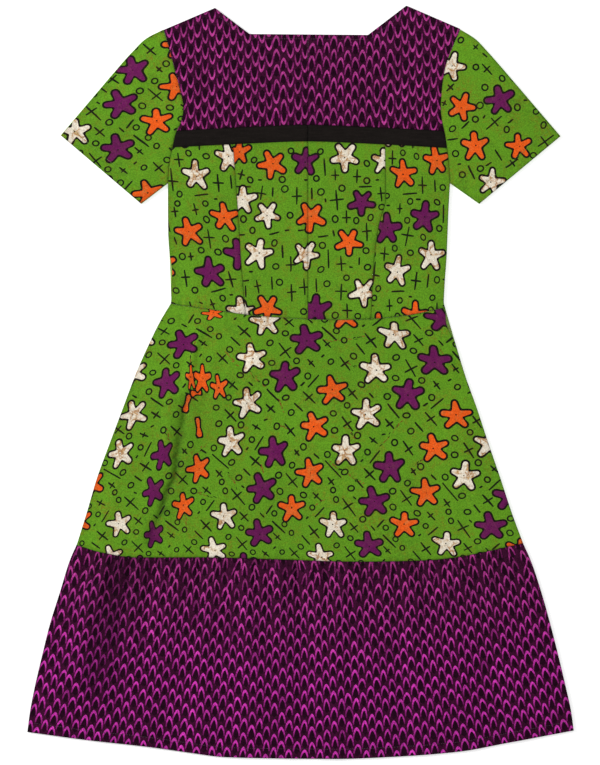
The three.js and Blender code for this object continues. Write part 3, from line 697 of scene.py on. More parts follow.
def flounce_print():
    out = []
    q = random.Random(77)
    n = 0
    for row in range(-1, 30):
        for colu in range(-42, 43):
            s = colu * 0.0292
            d = row * 19.4 + (9.7 if colu % 2 else 0.0) + q.uniform(-1.1, 1.1) - 4
            x = s * (300 + 0.21 * d) + 5
            gather = math.exp(-max(d, 0) / 62.0)
            x += gather * (2.6 * math.sin(colu * 2.1 + d * 0.05) + q.uniform(-2.0, 2.0)) + q.uniform(-0.6, 0.6)
            n += 1
            if not -372 < x < 372:
                continue
            y = float(flounce_seam(x)) - d - 17
            if y < -512 or y > -214:
                continue
            # painted shade: some arches near the gathered seam are drawn at half brightness
            gather_shaded = q.random() < 0.24 * gather
            w = 9.7 * (1 - 0.22 * gather * q.random()) * (1 + 0.00045 * max(d, 0))
            h = 14.6 * (1 + 0.12 * gather * q.uniform(-1, 1))
            mix = min(1.0, max(0.0, d) / 150)
            tip = TIP["dull"] * (1 - mix) + TIP["bright"] * mix
            # painted shade: the arches darken beside the deep gather at the left of the flounce
            away = float(to_segment(x, y, -236, -240, -268, -400)[0])
            tip = tip * (1 - 0.52 * math.exp(-((away / 24) ** 2)) * q.uniform(0.7, 1.15))
            if away < 30:
                x += q.uniform(-1.8, 1.8)
            out += arch(x, y, s * 0.20 + gather * q.uniform(-0.22, 0.22), w, h, 9000 + n, tip * (0.5 if gather_shaded else 1.0))
    return out


def yoke_print(box):
    out = []
    q = random.Random(55)
    n = 0
    for row in range(-1, 14):
        for colu in range(-30, 32):
            x = colu * 9.5 + 6 + q.uniform(-0.8, 0.8)
            y = 300 + row * 19.5 + (9.75 if colu % 2 else 0.0) + q.uniform(-1.0, 1.0)
            n += 1
            if not in_box(x, y, box, 18):
                continue
            down = x < -40 or -20 < x < 8 or x > 122
            if -40 <= x <= -20 or 96 < x <= 122:
                down = q.random() < 0.5
            out += arch(x, y + (8 if down else -8), math.pi if down else 0.0, 10.0, 14.8, 7000 + n, TIP["dull"] * q.uniform(0.9, 1.1))
    return out


# Trough of the left fold: shade_in paints shade along it, and skirt_top squeezes the stars beside it.
DEPTH = [(-152, -20, -160, -73), (-160, -73, -165, -107), (-165, -107, -170, -133), (-170, -133, -179, -153),
         (-179, -153, -188, -178), (-188, -178, -203, -214)]
# Painted shade down the flounce's gathers: ends, how much darker, half width.
SHADES = [(-236, -240, -268, -400, 0.34, 21.0), (-10, -238, -12, -318, 0.38, 5.0), (80, -240, 88, -330, 0.36, 5.5),
          (-62, -236, -70, -300, 0.30, 4.0), (36, -238, 40, -296, 0.32, 4.5), (150, -238, 166, -306, 0.32, 5.0),
          (212, -232, 236, -312, 0.30, 5.0), (-150, -234, -166, -330, 0.30, 6.0), (-200, -232, -222, -330, 0.34, 7.0),
          (262, -224, 290, -300, 0.30, 5.0), (-104, -234, -112, -290, 0.28, 4.5)]


# ---- meshes ---------------------------------------------------------------------------
def area2(pts):
    return sum(a[0] * b[1] - b[0] * a[1] for a, b in zip(pts, pts[1:] + pts[:1])) / 2


def cut(loop, points, polys):
    """Triangles of a loop, with the points and polygons worked in. Gives xy, triangles and each one's top polygon."""
    verts = [Vector(p) for p in loop]
    faces = [list(range(len(verts)))]
    for p in polys:
        pts = p[1] if area2(p[1]) > 0 else p[1][::-1]
        faces.append(list(range(len(verts), len(verts) + len(pts))))
        verts += [Vector(v) for v in pts]
    verts += [Vector(p) for p in points]
    vo, _, fo, ov, _, of = geometry.delaunay_2d_cdt(verts, [], faces, 0, 1e-3, True)
    xy = np.array([(v[0], v[1]) for v in vo])
    tris, top = [], []
    for f, o in zip(fo, of):
        if 0 in o:
            a, b, c = f
            s = (xy[b][0] - xy[a][0]) * (xy[c][1] - xy[a][1]) - (xy[c][0] - xy[a][0]) * (xy[b][1] - xy[a][1])
            tris.append((a, b, c) if s > 0 else (a, c, b))
            top.append(max(o))
    index = {}
    for k, src in enumerate(ov):
        for s in src:
            if s < len(loop):
                index[s] = k
    used = sorted(set(v for t in tris for v in t))
    new = {v: k for k, v in enumerate(used)}
    return xy[used], [tuple(new[v] for v in t) for t in tris], top, {s: new[k] for s, k in index.items() if k in new}


def border(tris):
    edges = set()
    for a, b, c in tris:
        edges.update(((a, b), (b, c), (c, a)))
    nxt = {a: b for a, b in edges if (b, a) not in edges}
    start = next(iter(sorted(nxt)))
    loop = [start]
    while nxt[loop[-1]] != start:
        loop.append(nxt[loop[-1]])
        if len(loop) > len(nxt):
            raise RuntimeError("open border")
    if len(loop) != len(nxt):
        raise RuntimeError("border in more than one loop: %d of %d" % (len(loop), len(nxt)))
    return loop


def loop_distance(loop, pts):
    best = np.full(len(pts), 1e9)
    for a, b in zip(loop, loop[1:] + loop[:1]):
        if a != b:
            best = np.minimum(best, to_segment(pts[:, 0], pts[:, 1], a[0], a[1], b[0], b[1])[0])
    return best


def grid(loop, pitch, seed, keep=1.6):
    q = np.random.RandomState(seed)
    xs = [p[0] for p in loop]
    ys = [p[1] for p in loop]
    gx, gy = np.meshgrid(np.arange(min(xs), max(xs), pitch), np.arange(min(ys), max(ys), pitch * 0.87))
    gx = gx + (np.arange(gx.shape[0]) % 2)[:, None] * pitch / 2
    pts = np.stack([gx.ravel(), gy.ravel()], 1) + q.uniform(-0.12, 0.12, (gx.size, 2)) * pitch
    pts = pts[inside_mask(loop, pts)]
    return pts[loop_distance(loop, pts) > keep]


def inset_rows(loop, ways):
    """Rows of points beside the edge, for its roll."""
    p = np.array(loop)
    t = np.roll(p, -1, 0) - np.roll(p, 1, 0)
    t = t / np.maximum(np.linalg.norm(t, axis=1)[:, None], 1e-9)
    n = np.stack([-t[:, 1], t[:, 0]], 1)
    out = []
    for w in ways:
        q = p + n * w
        m = inside_mask(loop, q)
        q = q[m]
        q = q[loop_distance(loop, q) > w * 0.85]
        out.append(q)
    return np.concatenate(out)


def dye_of(tris, top, polys, xy, ground):
    """Colour and wear of each triangle's corners."""
    n = len(tris)
    t = np.array(tris)
    colour = np.zeros((n, 3, 4))
    colour[..., 3] = 1
    wear = np.zeros((n, 3, 4))
    wear[..., 3] = 1
    cls = np.array([ground if k == 0 else polys[k - 1][0] for k in top])
    if ground == PLUM:
        cls[cls == GROUND] = PLUM
    shade = np.array([1.0 if k == 0 else polys[k - 1][2] for k in top])
    for c, v in LIN.items():
        colour[cls == c, :, :3] = v
    colour[..., :3] *= shade[:, None, None]
    ks = np.nonzero(cls == ARCH)[0]
    if len(ks):
        g = [polys[top[k] - 1][3] for k in ks]
        at = np.array([v[:5] for v in g])
        tip = np.array([v[5] for v in g])
        d = xy[t[ks]] - at[:, None, :2]
        f = np.clip((d * at[:, None, 2:4]).sum(2) / at[:, None, 4], 0, 1)
        f = (0.10 + 0.90 * smooth(f * 1.2))[..., None]
        colour[ks, :, :3] = (LEG * (1 - f) + tip[:, None, :] * f) * shade[ks][:, None, None]
    wear[..., 0] = np.select([cls == CREAM, cls == ORANGE, cls == PURPLE], [1.0, 0.3, 0.04], 0.0)[:, None]
    wear[..., 1] = np.where(np.isin(cls, (GROUND, PALE, RUST)), 1.0, np.where(cls == THIN, 0.3, 0.12))[:, None]
    wear[..., 2] = np.where(np.isin(cls, (INK, THIN)), 1.0, 0.0)[:, None]
    return colour, wear


def shade_in(colour, tris, xy, loop):
    """Painted shade: darkens the colour along each panel edge (a dark seam line, with painted shade beside it), down
    the left fold and in the flounce's gathers.
    """
    d = loop_distance(loop, xy)
    # painted shade along the panel edges: a dark seam line, and shade beside it
    f = 1 - 0.50 * np.exp(-((d / 0.75) ** 2)) - 0.10 * np.exp(-((d / 4.0) ** 2))
    wob = 1.6 * np.sin(xy[:, 1] * 0.12) + 1.0 * np.sin(xy[:, 1] * 0.31 + 1)
    # painted shade down the trough of the left fold
    for k, (x0, y0, x1, y1) in enumerate(DEPTH):
        d, t = to_segment(xy[:, 0] + wob, xy[:, 1], x0, y0, x1, y1)
        f = np.minimum(f, 1 - (0.46 if 0 < k < 5 else 0.26) * np.exp(-((d / 4.8) ** 2)) - 0.12 * np.exp(-((d / 14) ** 2)))
    if xy[:, 1].max() < -200:
        # painted shade down the gathers of the flounce
        for x0, y0, x1, y1, deep, wide in SHADES:
            d, t = to_segment(xy[:, 0] + wob * 0.8, xy[:, 1], x0, y0, x1, y1)
            f = f * (1 - deep * np.exp(-((d / wide) ** 2)) * (1 - 0.5 * t))
        # painted shade in the valleys between the gathers
        for gx, run, wide, high, lean in GATHERS[::2]:
            d, t = to_segment(xy[:, 0] + wob * 0.4, xy[:, 1], gx + 4, -234, gx * 1.06 + 4, -234 - run * 0.7)
            f = f * (1 - 0.30 * np.exp(-((d / 2.6) ** 2)) * (1 - 0.6 * t))
    colour[..., :3] *= f[np.array(tris)][..., None]


def new_object(name, verts, faces, colour, wear, uv, normals, material):
    mesh = bpy.data.meshes.new(name)
    mesh.from_pydata([tuple(v) for v in verts], [], faces)
    mesh.update()
    loops = len(mesh.loops)
    # colour attribute: the print's colours, with painted shade in the seams, the left fold and the gathers
    a = mesh.color_attributes.new("dye_and_shade", "FLOAT_COLOR", "CORNER")
    a.data.foreach_set("color", np.ascontiguousarray(colour, dtype=np.float32).ravel())
    a = mesh.color_attributes.new("wear", "FLOAT_COLOR", "CORNER")
    a.data.foreach_set("color", np.ascontiguousarray(wear, dtype=np.float32).ravel())
    assert colour.shape[0] == loops
    layer = mesh.uv_layers.new(name="OFBake")
    layer.data.foreach_set("uv", np.ascontiguousarray(uv, dtype=np.float32).ravel())
    mesh.polygons.foreach_set("use_smooth", [True] * len(mesh.polygons))
    mesh.materials.append(material)
    if mesh.validate():
        print("mended", name)
    mesh.normals_split_custom_set_from_vertices([tuple(n) for n in normals])
    obj = bpy.data.objects.new(name, mesh)
    scene.collection.objects.link(obj)
    return obj


COUNT = [0]


def finish_piece(obj, node, flat, area):
    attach(obj, "root")
    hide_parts(node)
    tri = sum(len(p.vertices) - 2 for p in obj.data.polygons)
    COUNT[0] += tri
    print("PIECE %-28s %7d triangles, flat %.3f x %.3f m, %.4f m2" % (obj.name, tri, flat[0], flat[1], area))


def shell(name, loop, top_f, polys, ground, other_ground, material, pitch=6.0, thick=CLOTH, seed=1, under_pitch=12.0, face_down=False):
    """A closed wall of cloth on a loop; its printed side is up, or down on the floor."""
    if area2(loop) < 0:
        loop = loop[::-1]
    pts = np.concatenate([grid(loop, pitch, seed), inset_rows(loop, (0.7, 1.6, 3.2))])
    xy, tris, top, _ = cut(loop, pts.tolist(), polys)
    edge = border(tris)
    ring_xy = [tuple(xy[k]) for k in edge]
    xy2, tris2, top2, index = cut(ring_xy, grid(ring_xy, under_pitch, seed + 50, 3.0).tolist(), [])
    n1 = len(xy)
    z1 = top_f(xy[:, 0], xy[:, 1]) - (thick if face_down else 0)
    z2 = top_f(xy2[:, 0], xy2[:, 1]) if face_down else upper_low(xy2[:, 0], xy2[:, 1])
    nn1 = normals_of(top_f, xy[:, 0], xy[:, 1]) * (-1 if face_down else 1)
    nn2 = normals_of(top_f, xy2[:, 0], xy2[:, 1]) * (1 if face_down else -1)
    low = [index[k] for k in range(len(edge))]
    if len(set(low)) != len(low):
        raise RuntimeError(name + ": the border's points ran together")
    if len(border([(a, c, b) for a, b, c in tris2])) != len(edge):
        raise RuntimeError(name + ": the under side has another border")
    ring_p = np.array(ring_xy)
    t = np.roll(ring_p, -1, 0) - np.roll(ring_p, 1, 0)
    out = np.stack([t[:, 1], -t[:, 0]], 1)
    out = out / np.maximum(np.linalg.norm(out, axis=1)[:, None], 1e-9)
    for k, (i, j) in enumerate(zip(edge, low)):
        v = nn1[i] + 0.9 * np.array((*out[k], 0))
        nn1[i] = v / np.linalg.norm(v)
        v = nn2[j] + 0.9 * np.array((*out[k], 0))
        nn2[j] = v / np.linalg.norm(v)
    verts = np.concatenate([np.column_stack([xy, z1]), np.column_stack([xy2, z2])]) / 1000
    faces = [tuple(t) for t in tris] + [(a + n1, c + n1, b + n1) for a, b, c in tris2]
    m = len(edge)
    for k in range(m):
        i, j = edge[k], edge[(k + 1) % m]
        faces.append((i, low[k] + n1, low[(k + 1) % m] + n1, j))
    c1, w1 = dye_of(tris, top, polys, xy, ground)
    shade_in(c1, tris, xy, loop)
    c2, w2 = dye_of(tris2, top2, [], xy2, other_ground)
    cr = np.tile(np.array([*LIN[ground], 1.0]), (m * 4, 1))
    wr = np.tile(np.array([0, 0.3, 0, 1.0]), (m * 4, 1))
    colour = np.concatenate([c1.reshape(-1, 4), c2.reshape(-1, 4), cr])
    wear = np.concatenate([w1.reshape(-1, 4), w2.reshape(-1, 4), wr])
    # bake map: the top at full scale, the under side beside it, the rim round the top
    lo, hi = xy.min(0), xy.max(0)
    w, h = hi - lo
    s = 0.97 / max(w * 1.42 + 10, h + 6)
    base = np.array([4 * s + 0.005, 3 * s + 0.005])
    uv_top = (xy - lo) * s + base
    uv_low = (xy2 - lo) * s * 0.4 + base + np.array([(w + 7) * s, 0])
    rim = uv_top[edge] + out * 2.2 * s
    uv = [uv_top[list(t)] for t in tris] + [uv_low[[a, c, b]] for a, b, c in tris2]
    for k in range(m):
        i, j = edge[k], edge[(k + 1) % m]
        uv.append(np.array([uv_top[i], rim[k], rim[(k + 1) % m], uv_top[j]]))
    if face_down:
        faces = [f[::-1] for f in faces]
        uv = [u[::-1] for u in uv]
        c1 = c1[:, ::-1]
        w1 = w1[:, ::-1]
        colour = np.concatenate([c1.reshape(-1, 4), c2.reshape(-1, 4), cr])
        wear = np.concatenate([w1.reshape(-1, 4), w2.reshape(-1, 4), wr])
    uv = np.concatenate(uv)
    return new_object(name, verts, faces, colour, wear, uv, np.concatenate([nn1, nn2]), material)


# ---- outlines of the panels --------------------------------------------------------------
def corner(fx, fy, y0):
    y = y0
    for _ in range(80):
        x = float(fx(y))
        y = 0.5 * y + 0.5 * float(fy(x))
    return float(fx(y)), y


def run(f, a, b, step, breaks=()):
    n = max(1, int(abs(b - a) / step))
    q = [a + (b - a) * k / n for k in range(n + 1)]
    lo, hi = min(a, b), max(a, b)
    for v in breaks:
        if lo + 1.5 < v < hi - 1.5:
            q = [u for u in q if abs(u - v) > 1.0 or u in (a, b)] + [v]
    q.sort(reverse=b < a)
    return [(u, float(f(u))) for u in q]


def outline(left, right, top, bottom, y_top, y_bottom, step=4.0, breaks=()):
    L = lambda y: left(y) + HALF
    R = lambda y: right(y) - HALF
    T = lambda x: top(x) - HALF
    B = lambda x: bottom(x) + HALF
    tl, tr = corner(L, T, y_top), corner(R, T, y_top)
    bl, br = corner(L, B, y_bottom), corner(R, B, y_bottom)
    pts = run(B, bl[0], br[0], step)
    pts += [(x, y) for y, x in run(R, br[1], tr[1], step)][1:]
    pts += run(T, tr[0], tl[0], step, breaks)[1:]
    pts += [(x, y) for y, x in run(L, tl[1], bl[1], step)][1:-1]
    return pts


side_l = lambda y: side("left", y)
side_r = lambda y: side("right", y)
back_l = lambda y: side("left", y) + roll("left", y)
back_r = lambda y: side("right", y) - roll("right", y)
centre = lambda y: CENTRE_X + 0.0 * np.asarray(y, float)


# ---- materials ---------------------------------------------------------------------------
def srgb(*c):
    return (*[float(v) for v in lin(c)], 1.0)


def cloth_material(name, kind):
    m = bpy.data.materials.new(name)
    m.use_nodes = True
    nt = m.node_tree
    nt.nodes.clear()
    N = nt.nodes.new
    Lk = nt.links.new
    out = N("ShaderNodeOutputMaterial")
    bsdf = N("ShaderNodeBsdfPrincipled")
    Lk(bsdf.outputs[0], out.inputs[0])
    bsdf.inputs["Sheen Weight"].default_value = 0.05 if kind == "green" else 0.02
    bsdf.inputs["Sheen Roughness"].default_value = 0.45
    bsdf.inputs["Specular IOR Level"].default_value = 0.15 if kind == "green" else 0.06
    tc = N("ShaderNodeTexCoord")

    def mapped(sx, sy, sz=1.0, turn=0.0):
        mp = N("ShaderNodeMapping")
        mp.inputs["Scale"].default_value = (sx, sy, sz)
        mp.inputs["Rotation"].default_value = (0, 0, turn)
        Lk(tc.outputs["Object"], mp.inputs[0])
        return mp.outputs[0]

    def noise(vec, scale, detail=3.0, rough=0.55, warp=0.0):
        n = N("ShaderNodeTexNoise")
        n.inputs["Scale"].default_value = scale
        n.inputs["Detail"].default_value = detail
        n.inputs["Roughness"].default_value = rough
        n.inputs["Distortion"].default_value = warp
        Lk(vec, n.inputs["Vector"])
        return n.outputs["Fac"]

    def span(v, a, b, c, d):
        r = N("ShaderNodeMapRange")
        r.inputs["From Min"].default_value = a
        r.inputs["From Max"].default_value = b
        r.inputs["To Min"].default_value = c
        r.inputs["To Max"].default_value = d
        Lk(v, r.inputs["Value"])
        return r.outputs[0]

    def math_(op, a, b):
        n = N("ShaderNodeMath")
        n.operation = op
        for k, v in enumerate((a, b)):
            if isinstance(v, (int, float)):
                n.inputs[k].default_value = v
            else:
                Lk(v, n.inputs[k])
        return n.outputs[0]

    def mix(fac, a, b, mode="MIX"):
        n = N("ShaderNodeMix")
        n.data_type = "RGBA"
        n.blend_type = mode
        n.clamp_factor = True
        if isinstance(fac, (int, float)):
            n.inputs[0].default_value = fac
        else:
            Lk(fac, n.inputs[0])
        for k, v in ((6, a), (7, b)):
            if isinstance(v, tuple):
                n.inputs[k].default_value = v
            else:
                Lk(v, n.inputs[k])
        return n.outputs[2]

    straight_ = mapped(1, 1)
    # colour attribute: the print's colours, with painted shade in the seams, the left fold and the gathers
    dye_and_shade = N("ShaderNodeAttribute")
    dye_and_shade.attribute_name = "dye_and_shade"
    wear = N("ShaderNodeAttribute")
    wear.attribute_name = "wear"
    sep = N("ShaderNodeSeparateColor")
    Lk(wear.outputs["Color"], sep.inputs[0])
    crack_m, smudge_m, ink_m = sep.outputs[0], sep.outputs[1], sep.outputs[2]
    base = dye_and_shade.outputs["Color"]

    def brighten(c, fac):
        v = N("ShaderNodeCombineColor")
        for k in range(3):
            Lk(fac, v.inputs[k])
        return mix(1.0, c, v.outputs[0], "MULTIPLY")

    if kind == "green":
        # ink rubbed thin, so that the ground comes through it
        rub = math_("MULTIPLY", span(noise(straight_, 420, 4, 0.7), 0.60, 0.80, 0, 0.45), ink_m)
        base = mix(rub, base, srgb(84, 92, 40))
        # tan smudges and fine crackle of the ground
        smudge = math_("MULTIPLY", span(noise(straight_, 34, 6, 0.68, 0.6), 0.46, 0.66, 0, 1), span(noise(straight_, 240, 4, 0.72), 0.42, 0.68, 0, 0.66))
        base = mix(math_("MULTIPLY", smudge, smudge_m), base, srgb(138, 92, 26))
        vor = N("ShaderNodeTexVoronoi")
        vor.feature = "DISTANCE_TO_EDGE"
        vor.inputs["Scale"].default_value = 105
        warp = N("ShaderNodeVectorMath")
        warp.operation = "ADD"
        wn = N("ShaderNodeTexNoise")
        wn.inputs["Scale"].default_value = 150
        Lk(straight_, wn.inputs["Vector"])
        sc = N("ShaderNodeVectorMath")
        sc.operation = "SCALE"
        sc.inputs["Scale"].default_value = 0.009
        Lk(wn.outputs["Color"], sc.inputs[0])
        Lk(straight_, warp.inputs[0])
        Lk(sc.outputs[0], warp.inputs[1])
        Lk(warp.outputs[0], vor.inputs["Vector"])
        thin = span(vor.outputs["Distance"], 0.02, 0.15, 1, 0)
        some = span(noise(straight_, 60, 3, 0.6), 0.44, 0.56, 0, 1)
        crack = math_("MULTIPLY", math_("MULTIPLY", thin, some), crack_m)
        base = mix(math_("MULTIPLY", crack, 0.9), base, srgb(170, 112, 44))
        blot = math_("MULTIPLY", span(noise(straight_, 120, 5, 0.7), 0.53, 0.68, 0, 0.6), crack_m)
        base = mix(blot, base, srgb(208, 170, 108))
        fine = math_("MULTIPLY", math_("MULTIPLY", thin, span(noise(straight_, 26, 3, 0.6), 0.55, 0.7, 0, 0.5)), smudge_m)
        base = mix(fine, base, srgb(70, 118, 22))
        base = brighten(base, span(noise(straight_, 7, 3, 0.5), 0.3, 0.7, 0.93, 1.07))
        base = brighten(base, span(noise(straight_, 560, 3, 0.85), 0.34, 0.66, 0.64, 1.34))
    elif kind == "purple":
        base = brighten(base, span(noise(mapped(1, 0.6), 600, 4, 0.85), 0.36, 0.64, 0.34, 1.62))
        base = brighten(base, span(noise(mapped(1, 0.05), 60, 3, 0.6), 0.3, 0.7, 0.84, 1.16))
        base = mix(span(noise(straight_, 140, 4, 0.75), 0.58, 0.8, 0, 0.22), base, srgb(110, 14, 84))
    else:
        base = brighten(base, span(noise(mapped(0.12, 1), 420, 4, 0.7), 0.25, 0.75, 0.72, 1.5))
        base = mix(span(noise(straight_, 300, 4, 0.8), 0.62, 0.8, 0, 0.35), base, srgb(86, 78, 70))
    Lk(base, bsdf.inputs["Base Color"])
    Lk(span(noise(straight_, 240, 3, 0.6), 0.3, 0.7, 0.78, 0.94), bsdf.inputs["Roughness"])

    # plain weave, with uneven threads
    xyz = N("ShaderNodeSeparateXYZ")
    wv = N("ShaderNodeVectorMath")
    wv.operation = "ADD"
    wn2 = N("ShaderNodeTexNoise")
    wn2.inputs["Scale"].default_value = 90
    Lk(straight_, wn2.inputs["Vector"])
    sc2 = N("ShaderNodeVectorMath")
    sc2.operation = "SCALE"
    sc2.inputs["Scale"].default_value = 0.0011
    Lk(wn2.outputs["Color"], sc2.inputs[0])
    Lk(straight_, wv.inputs[0])
    Lk(sc2.outputs[0], wv.inputs[1])
    Lk(wv.outputs[0], xyz.inputs[0])
    f = math.tau / (0.00085 if kind != "band" else 0.0012)
    sx = math_("SINE", math_("MULTIPLY", xyz.outputs[0], f), 0)
    sy = math_("SINE", math_("MULTIPLY", xyz.outputs[1], f), 0)
    weave = math_("MULTIPLY", sx, sy)
    slub = noise(mapped(1, 0.12), 520, 3, 0.7)
    slub2 = noise(mapped(0.12, 1), 520, 3, 0.7)
    height = math_("ADD", math_("MULTIPLY", weave, 0.35), math_("ADD", slub, slub2))
    bump = N("ShaderNodeBump")
    bump.inputs["Strength"].default_value = 0.30
    bump.inputs["Distance"].default_value = 0.00035
    Lk(height, bump.inputs["Height"])
    Lk(bump.outputs[0], bsdf.inputs["Normal"])
    return m


GREEN_M = cloth_material("green_printed_cotton", "green")
PURPLE_M = cloth_material("purple_printed_cotton", "purple")
BAND_M = cloth_material("black_band_cotton", "band")

# ---- the panels ----------------------------------------------------------------------------
NECK_BREAKS = [p[0] for p in NECKLINE[1:-1]]


def box_of(loop):
    xs, ys = [p[0] for p in loop], [p[1] for p in loop]
    return min(xs), min(ys), max(xs), max(ys)


def flat_of(loop, allow=0.0):
    b = box_of(loop)
    w, h = (b[2] - b[0] + allow) / 1000, (b[3] - b[1] + allow) / 1000
    a = abs(area2(loop)) * 1e-6 + allow * 1e-3 * (w + h)
    return (round(w, 3), round(h, 3)), round(min(a, 0.98 * w * h), 4)


loops = {
    "back_yoke_left": outline(back_l, centre, neck, band_top, 470, 330, breaks=NECK_BREAKS),
    "back_yoke_right": outline(centre, back_r, neck, band_top, 470, 330, breaks=NECK_BREAKS),
    "back_band_left": outline(back_l, centre, band_top, band_bottom, 335, 313),
    "back_band_right": outline(centre, back_r, band_top, band_bottom, 335, 313),
    "back_bodice_side_left": outline(back_l, princess["left"], band_bottom, waist, 313, 95),
    "back_bodice_centre_left": outline(princess["left"], centre, band_bottom, waist, 313, 90),
    "back_bodice_centre_right": outline(centre, princess["right"], band_bottom, waist, 313, 90),
    "back_bodice_side_right": outline(princess["right"], back_r, band_bottom, waist, 313, 95),
    "back_skirt": outline(back_l, back_r, waist, flounce_seam, 95, -230),
    "back_flounce": outline(back_l, back_r, flounce_seam, hem, -220, -466),
    "front_yoke": outline(side_l, side_r, neck_front, band_top, 470, 330, 6.0, breaks=[p[0] for p in NECKFRONT[1:-1]]),
    "front_band": outline(side_l, side_r, band_top, band_bottom, 335, 313, 6.0),
    "front_bodice": outline(side_l, side_r, band_bottom, waist, 313, 95, 6.0),
    "front_skirt": outline(side_l, side_r, waist, flounce_seam, 95, -230, 6.0),
    "front_flounce": outline(side_l, side_r, flounce_seam, hem, -220, -466, 6.0),
}

green_tops = {
    "back_bodice_side_left": lambda b: without(star('O', -83, 306, 17.5, 90, 4102) + repeat_print(straight("side_left"), b), -159, 100),
    "back_bodice_centre_left": lambda b: chart_print("centre_left"),
    "back_bodice_centre_right": lambda b: chart_print("centre_right"),
    "back_bodice_side_right": lambda b: repeat_print(straight("side_right"), b),
}


STREAKS = [(-140, 60, -147, 23), (-71, 16, -47, -6), (32, 55, 86, 60), (59, 27, 79, 20), (-14, 23, -5, 14),
           (-140, -146, -114, -153), (-58, -106, -47, -119), (39, -106, 86, -137), (108, -83, 135, -50),
           (-151, -190, -154, -176), (-65, 59, -63, 44), (-127, -83, -143, -101), (19, -163, 32, -156),
           (185, 43, 205, 14), (-27, -57, -14, -66), (-100, 40, -84, 22), (-30, -20, -22, -40), (150, -110, 172, -96),
           (-95, -120, -84, -140), (60, -60, 74, -74), (-180, -60, -172, -84), (100, -150, 96, -172)]


def skirt_top(b):
    """The repeat on the skirt; the star that the left fold takes in shows on both sides of it."""
    out = [p for k, row in enumerate(STREAKS) for p in streak(*row, 5000 + k)]
    out += without(repeat_print(skirt_lay, b, (-335, -345, 330, 150)), -159, 100)
    taken = []
    for p in out:
        xs = [v[0] for v in p[1]]
        ys = [v[1] for v in p[1]]
        cx, cy = (min(xs) + max(xs)) / 2, (min(ys) + max(ys)) / 2
        if p[0] in (INK, ORANGE) and (math.hypot(cx + 122, cy - 0) < 13 or math.hypot(cx + 135.5, cy + 54) < 12):
            continue
        if p[0] in (INK, ORANGE) and math.hypot(cx + 114, cy - 89) < 14:      # taken up in the waist seam
            p = (p[0], [(cx - 4 + (vx - cx) * 0.72, cy + (vy - cy) * 0.5) for vx, vy in p[1]], *p[2:])
        if p[0] in (INK, ORANGE, PURPLE, CREAM):      # the fold squeezes the stars beside it
            near = min(float(to_segment(cx, cy, *seg)[0]) for seg in DEPTH)
            k = 1 - 0.27 * math.exp(-((near / 30) ** 4))
            p = (p[0], [(cx + (vx - cx) * k, vy) for vx, vy in p[1]], *p[2:])
        taken.append(p)
    taken += sliver(-151, -28, 76, 23, 5.6, 4103) + sliver(-135.5, -60, 97, 25, 5.4, 4104) + sliver(-139, -14, 12, 13, 6.5, 4105)
    taken += star('O', -145.5, 6, 17, 96, 4106, 0.42) + star('O', -130.8, 4, 20, 88, 4100, 0.56)
    taken += star('O', -108.5, -7, 17, 100, 4101, 0.7)
    return taken


green_tops["back_skirt"] = skirt_top
PRINT_RESTS = {}
for name, loop in loops.items():
    b = box_of(loop)
    flat, area = flat_of(loop)
    if name.startswith("back_"):
        if "yoke" in name:
            polys, ground, mat, slot = yoke_print(b), PLUM, PURPLE_M, "purple_print"
        elif "flounce" in name:
            polys, ground, mat, slot = flounce_print(), PLUM, PURPLE_M, "purple_print"
        elif "band" in name:
            polys, ground, mat, slot = [], BLACK, BAND_M, "black_band"
        else:
            polys, ground, mat, slot = green_tops[name](b), GROUND, GREEN_M, "green_print"
        under = {PLUM: PLUM, BLACK: BLACK, GROUND: PALE}[ground]
        obj = shell("cloth_" + name, loop, upper_z, polys, ground, under, mat,
                    pitch=5.0 if "band" not in name else 4.5, seed=len(name))
    else:
        if "yoke" in name:
            polys, ground, mat, slot = yoke_print(b), PLUM, PURPLE_M, "purple_print"
        elif "flounce" in name:
            polys, ground, mat, slot = flounce_print(), PLUM, PURPLE_M, "purple_print"
        elif "band" in name:
            polys, ground, mat, slot = [], BLACK, BAND_M, "black_band"
        else:
            lay = straight(name)
            polys, ground, mat, slot = repeat_print(lay, b), GROUND, GREEN_M, "green_print"
        obj = shell("cloth_" + name, loop, lower_z, polys, ground, PALE if ground == GROUND else ground, mat,
                    pitch=10.0, thick=0.9, seed=len(name), face_down=True)
    if name == "back_flounce" or name == "front_flounce":
        flat = (round(flat[0] * 1.12, 3), flat[1])
        area = round(area * 1.08, 4)
        finish_piece(obj, name, flat, area)
    else:
        finish_piece(obj, name, flat, area)


# ---- sleeves: tubes pressed flat ---------------------------------------------------------
def sleeve_loop(which):
    out = -1 if which == "left" else 1
    sh, un = SLEEVE[which]
    arm = [(float(side(which, y)) + out * HALF, y) for y in np.linspace(sh[0][2] - 0.4, 265.1, 52)]
    arm[0] = (sh[0][1] + out * HALF, sh[0][2] - 0.3)
    low = [(arm[-1][0] + (un[1][1] - arm[-1][0]) * k / 10, arm[-1][1] + (un[1][2] - arm[-1][1]) * k / 10) for k in range(1, 11)]
    top = [arm[0]] + [(p[1], p[2]) for p in sh[1:]]
    hem_ = [(low[-1][0] + (top[-1][0] - low[-1][0]) * k / 34, low[-1][1] + (top[-1][1] - low[-1][1]) * k / 34) for k in range(1, 35)]
    back = []
    # a soft shoulder line through its corners
    c = curve([(i, p[0]) for i, p in enumerate(top[::-1])])
    d = curve([(i, p[1]) for i, p in enumerate(top[::-1])])
    seg = [math.dist(a, b) for a, b in zip(top[::-1], top[::-1][1:])]
    tot = sum(seg)
    for k in range(1, 48):
        s = tot * k / 48
        i = 0
        while s > seg[i]:
            s -= seg[i]
            i += 1
        t = i + s / seg[i]
        back.append((float(c(t)), float(d(t))))
    pts = arm + low + hem_ + back
    kinds = ["rim"] * (len(arm) - 1) + ["fold"] * len(low) + ["rim"] * len(hem_) + ["fold"] * (len(back) + 1)
    return pts, kinds


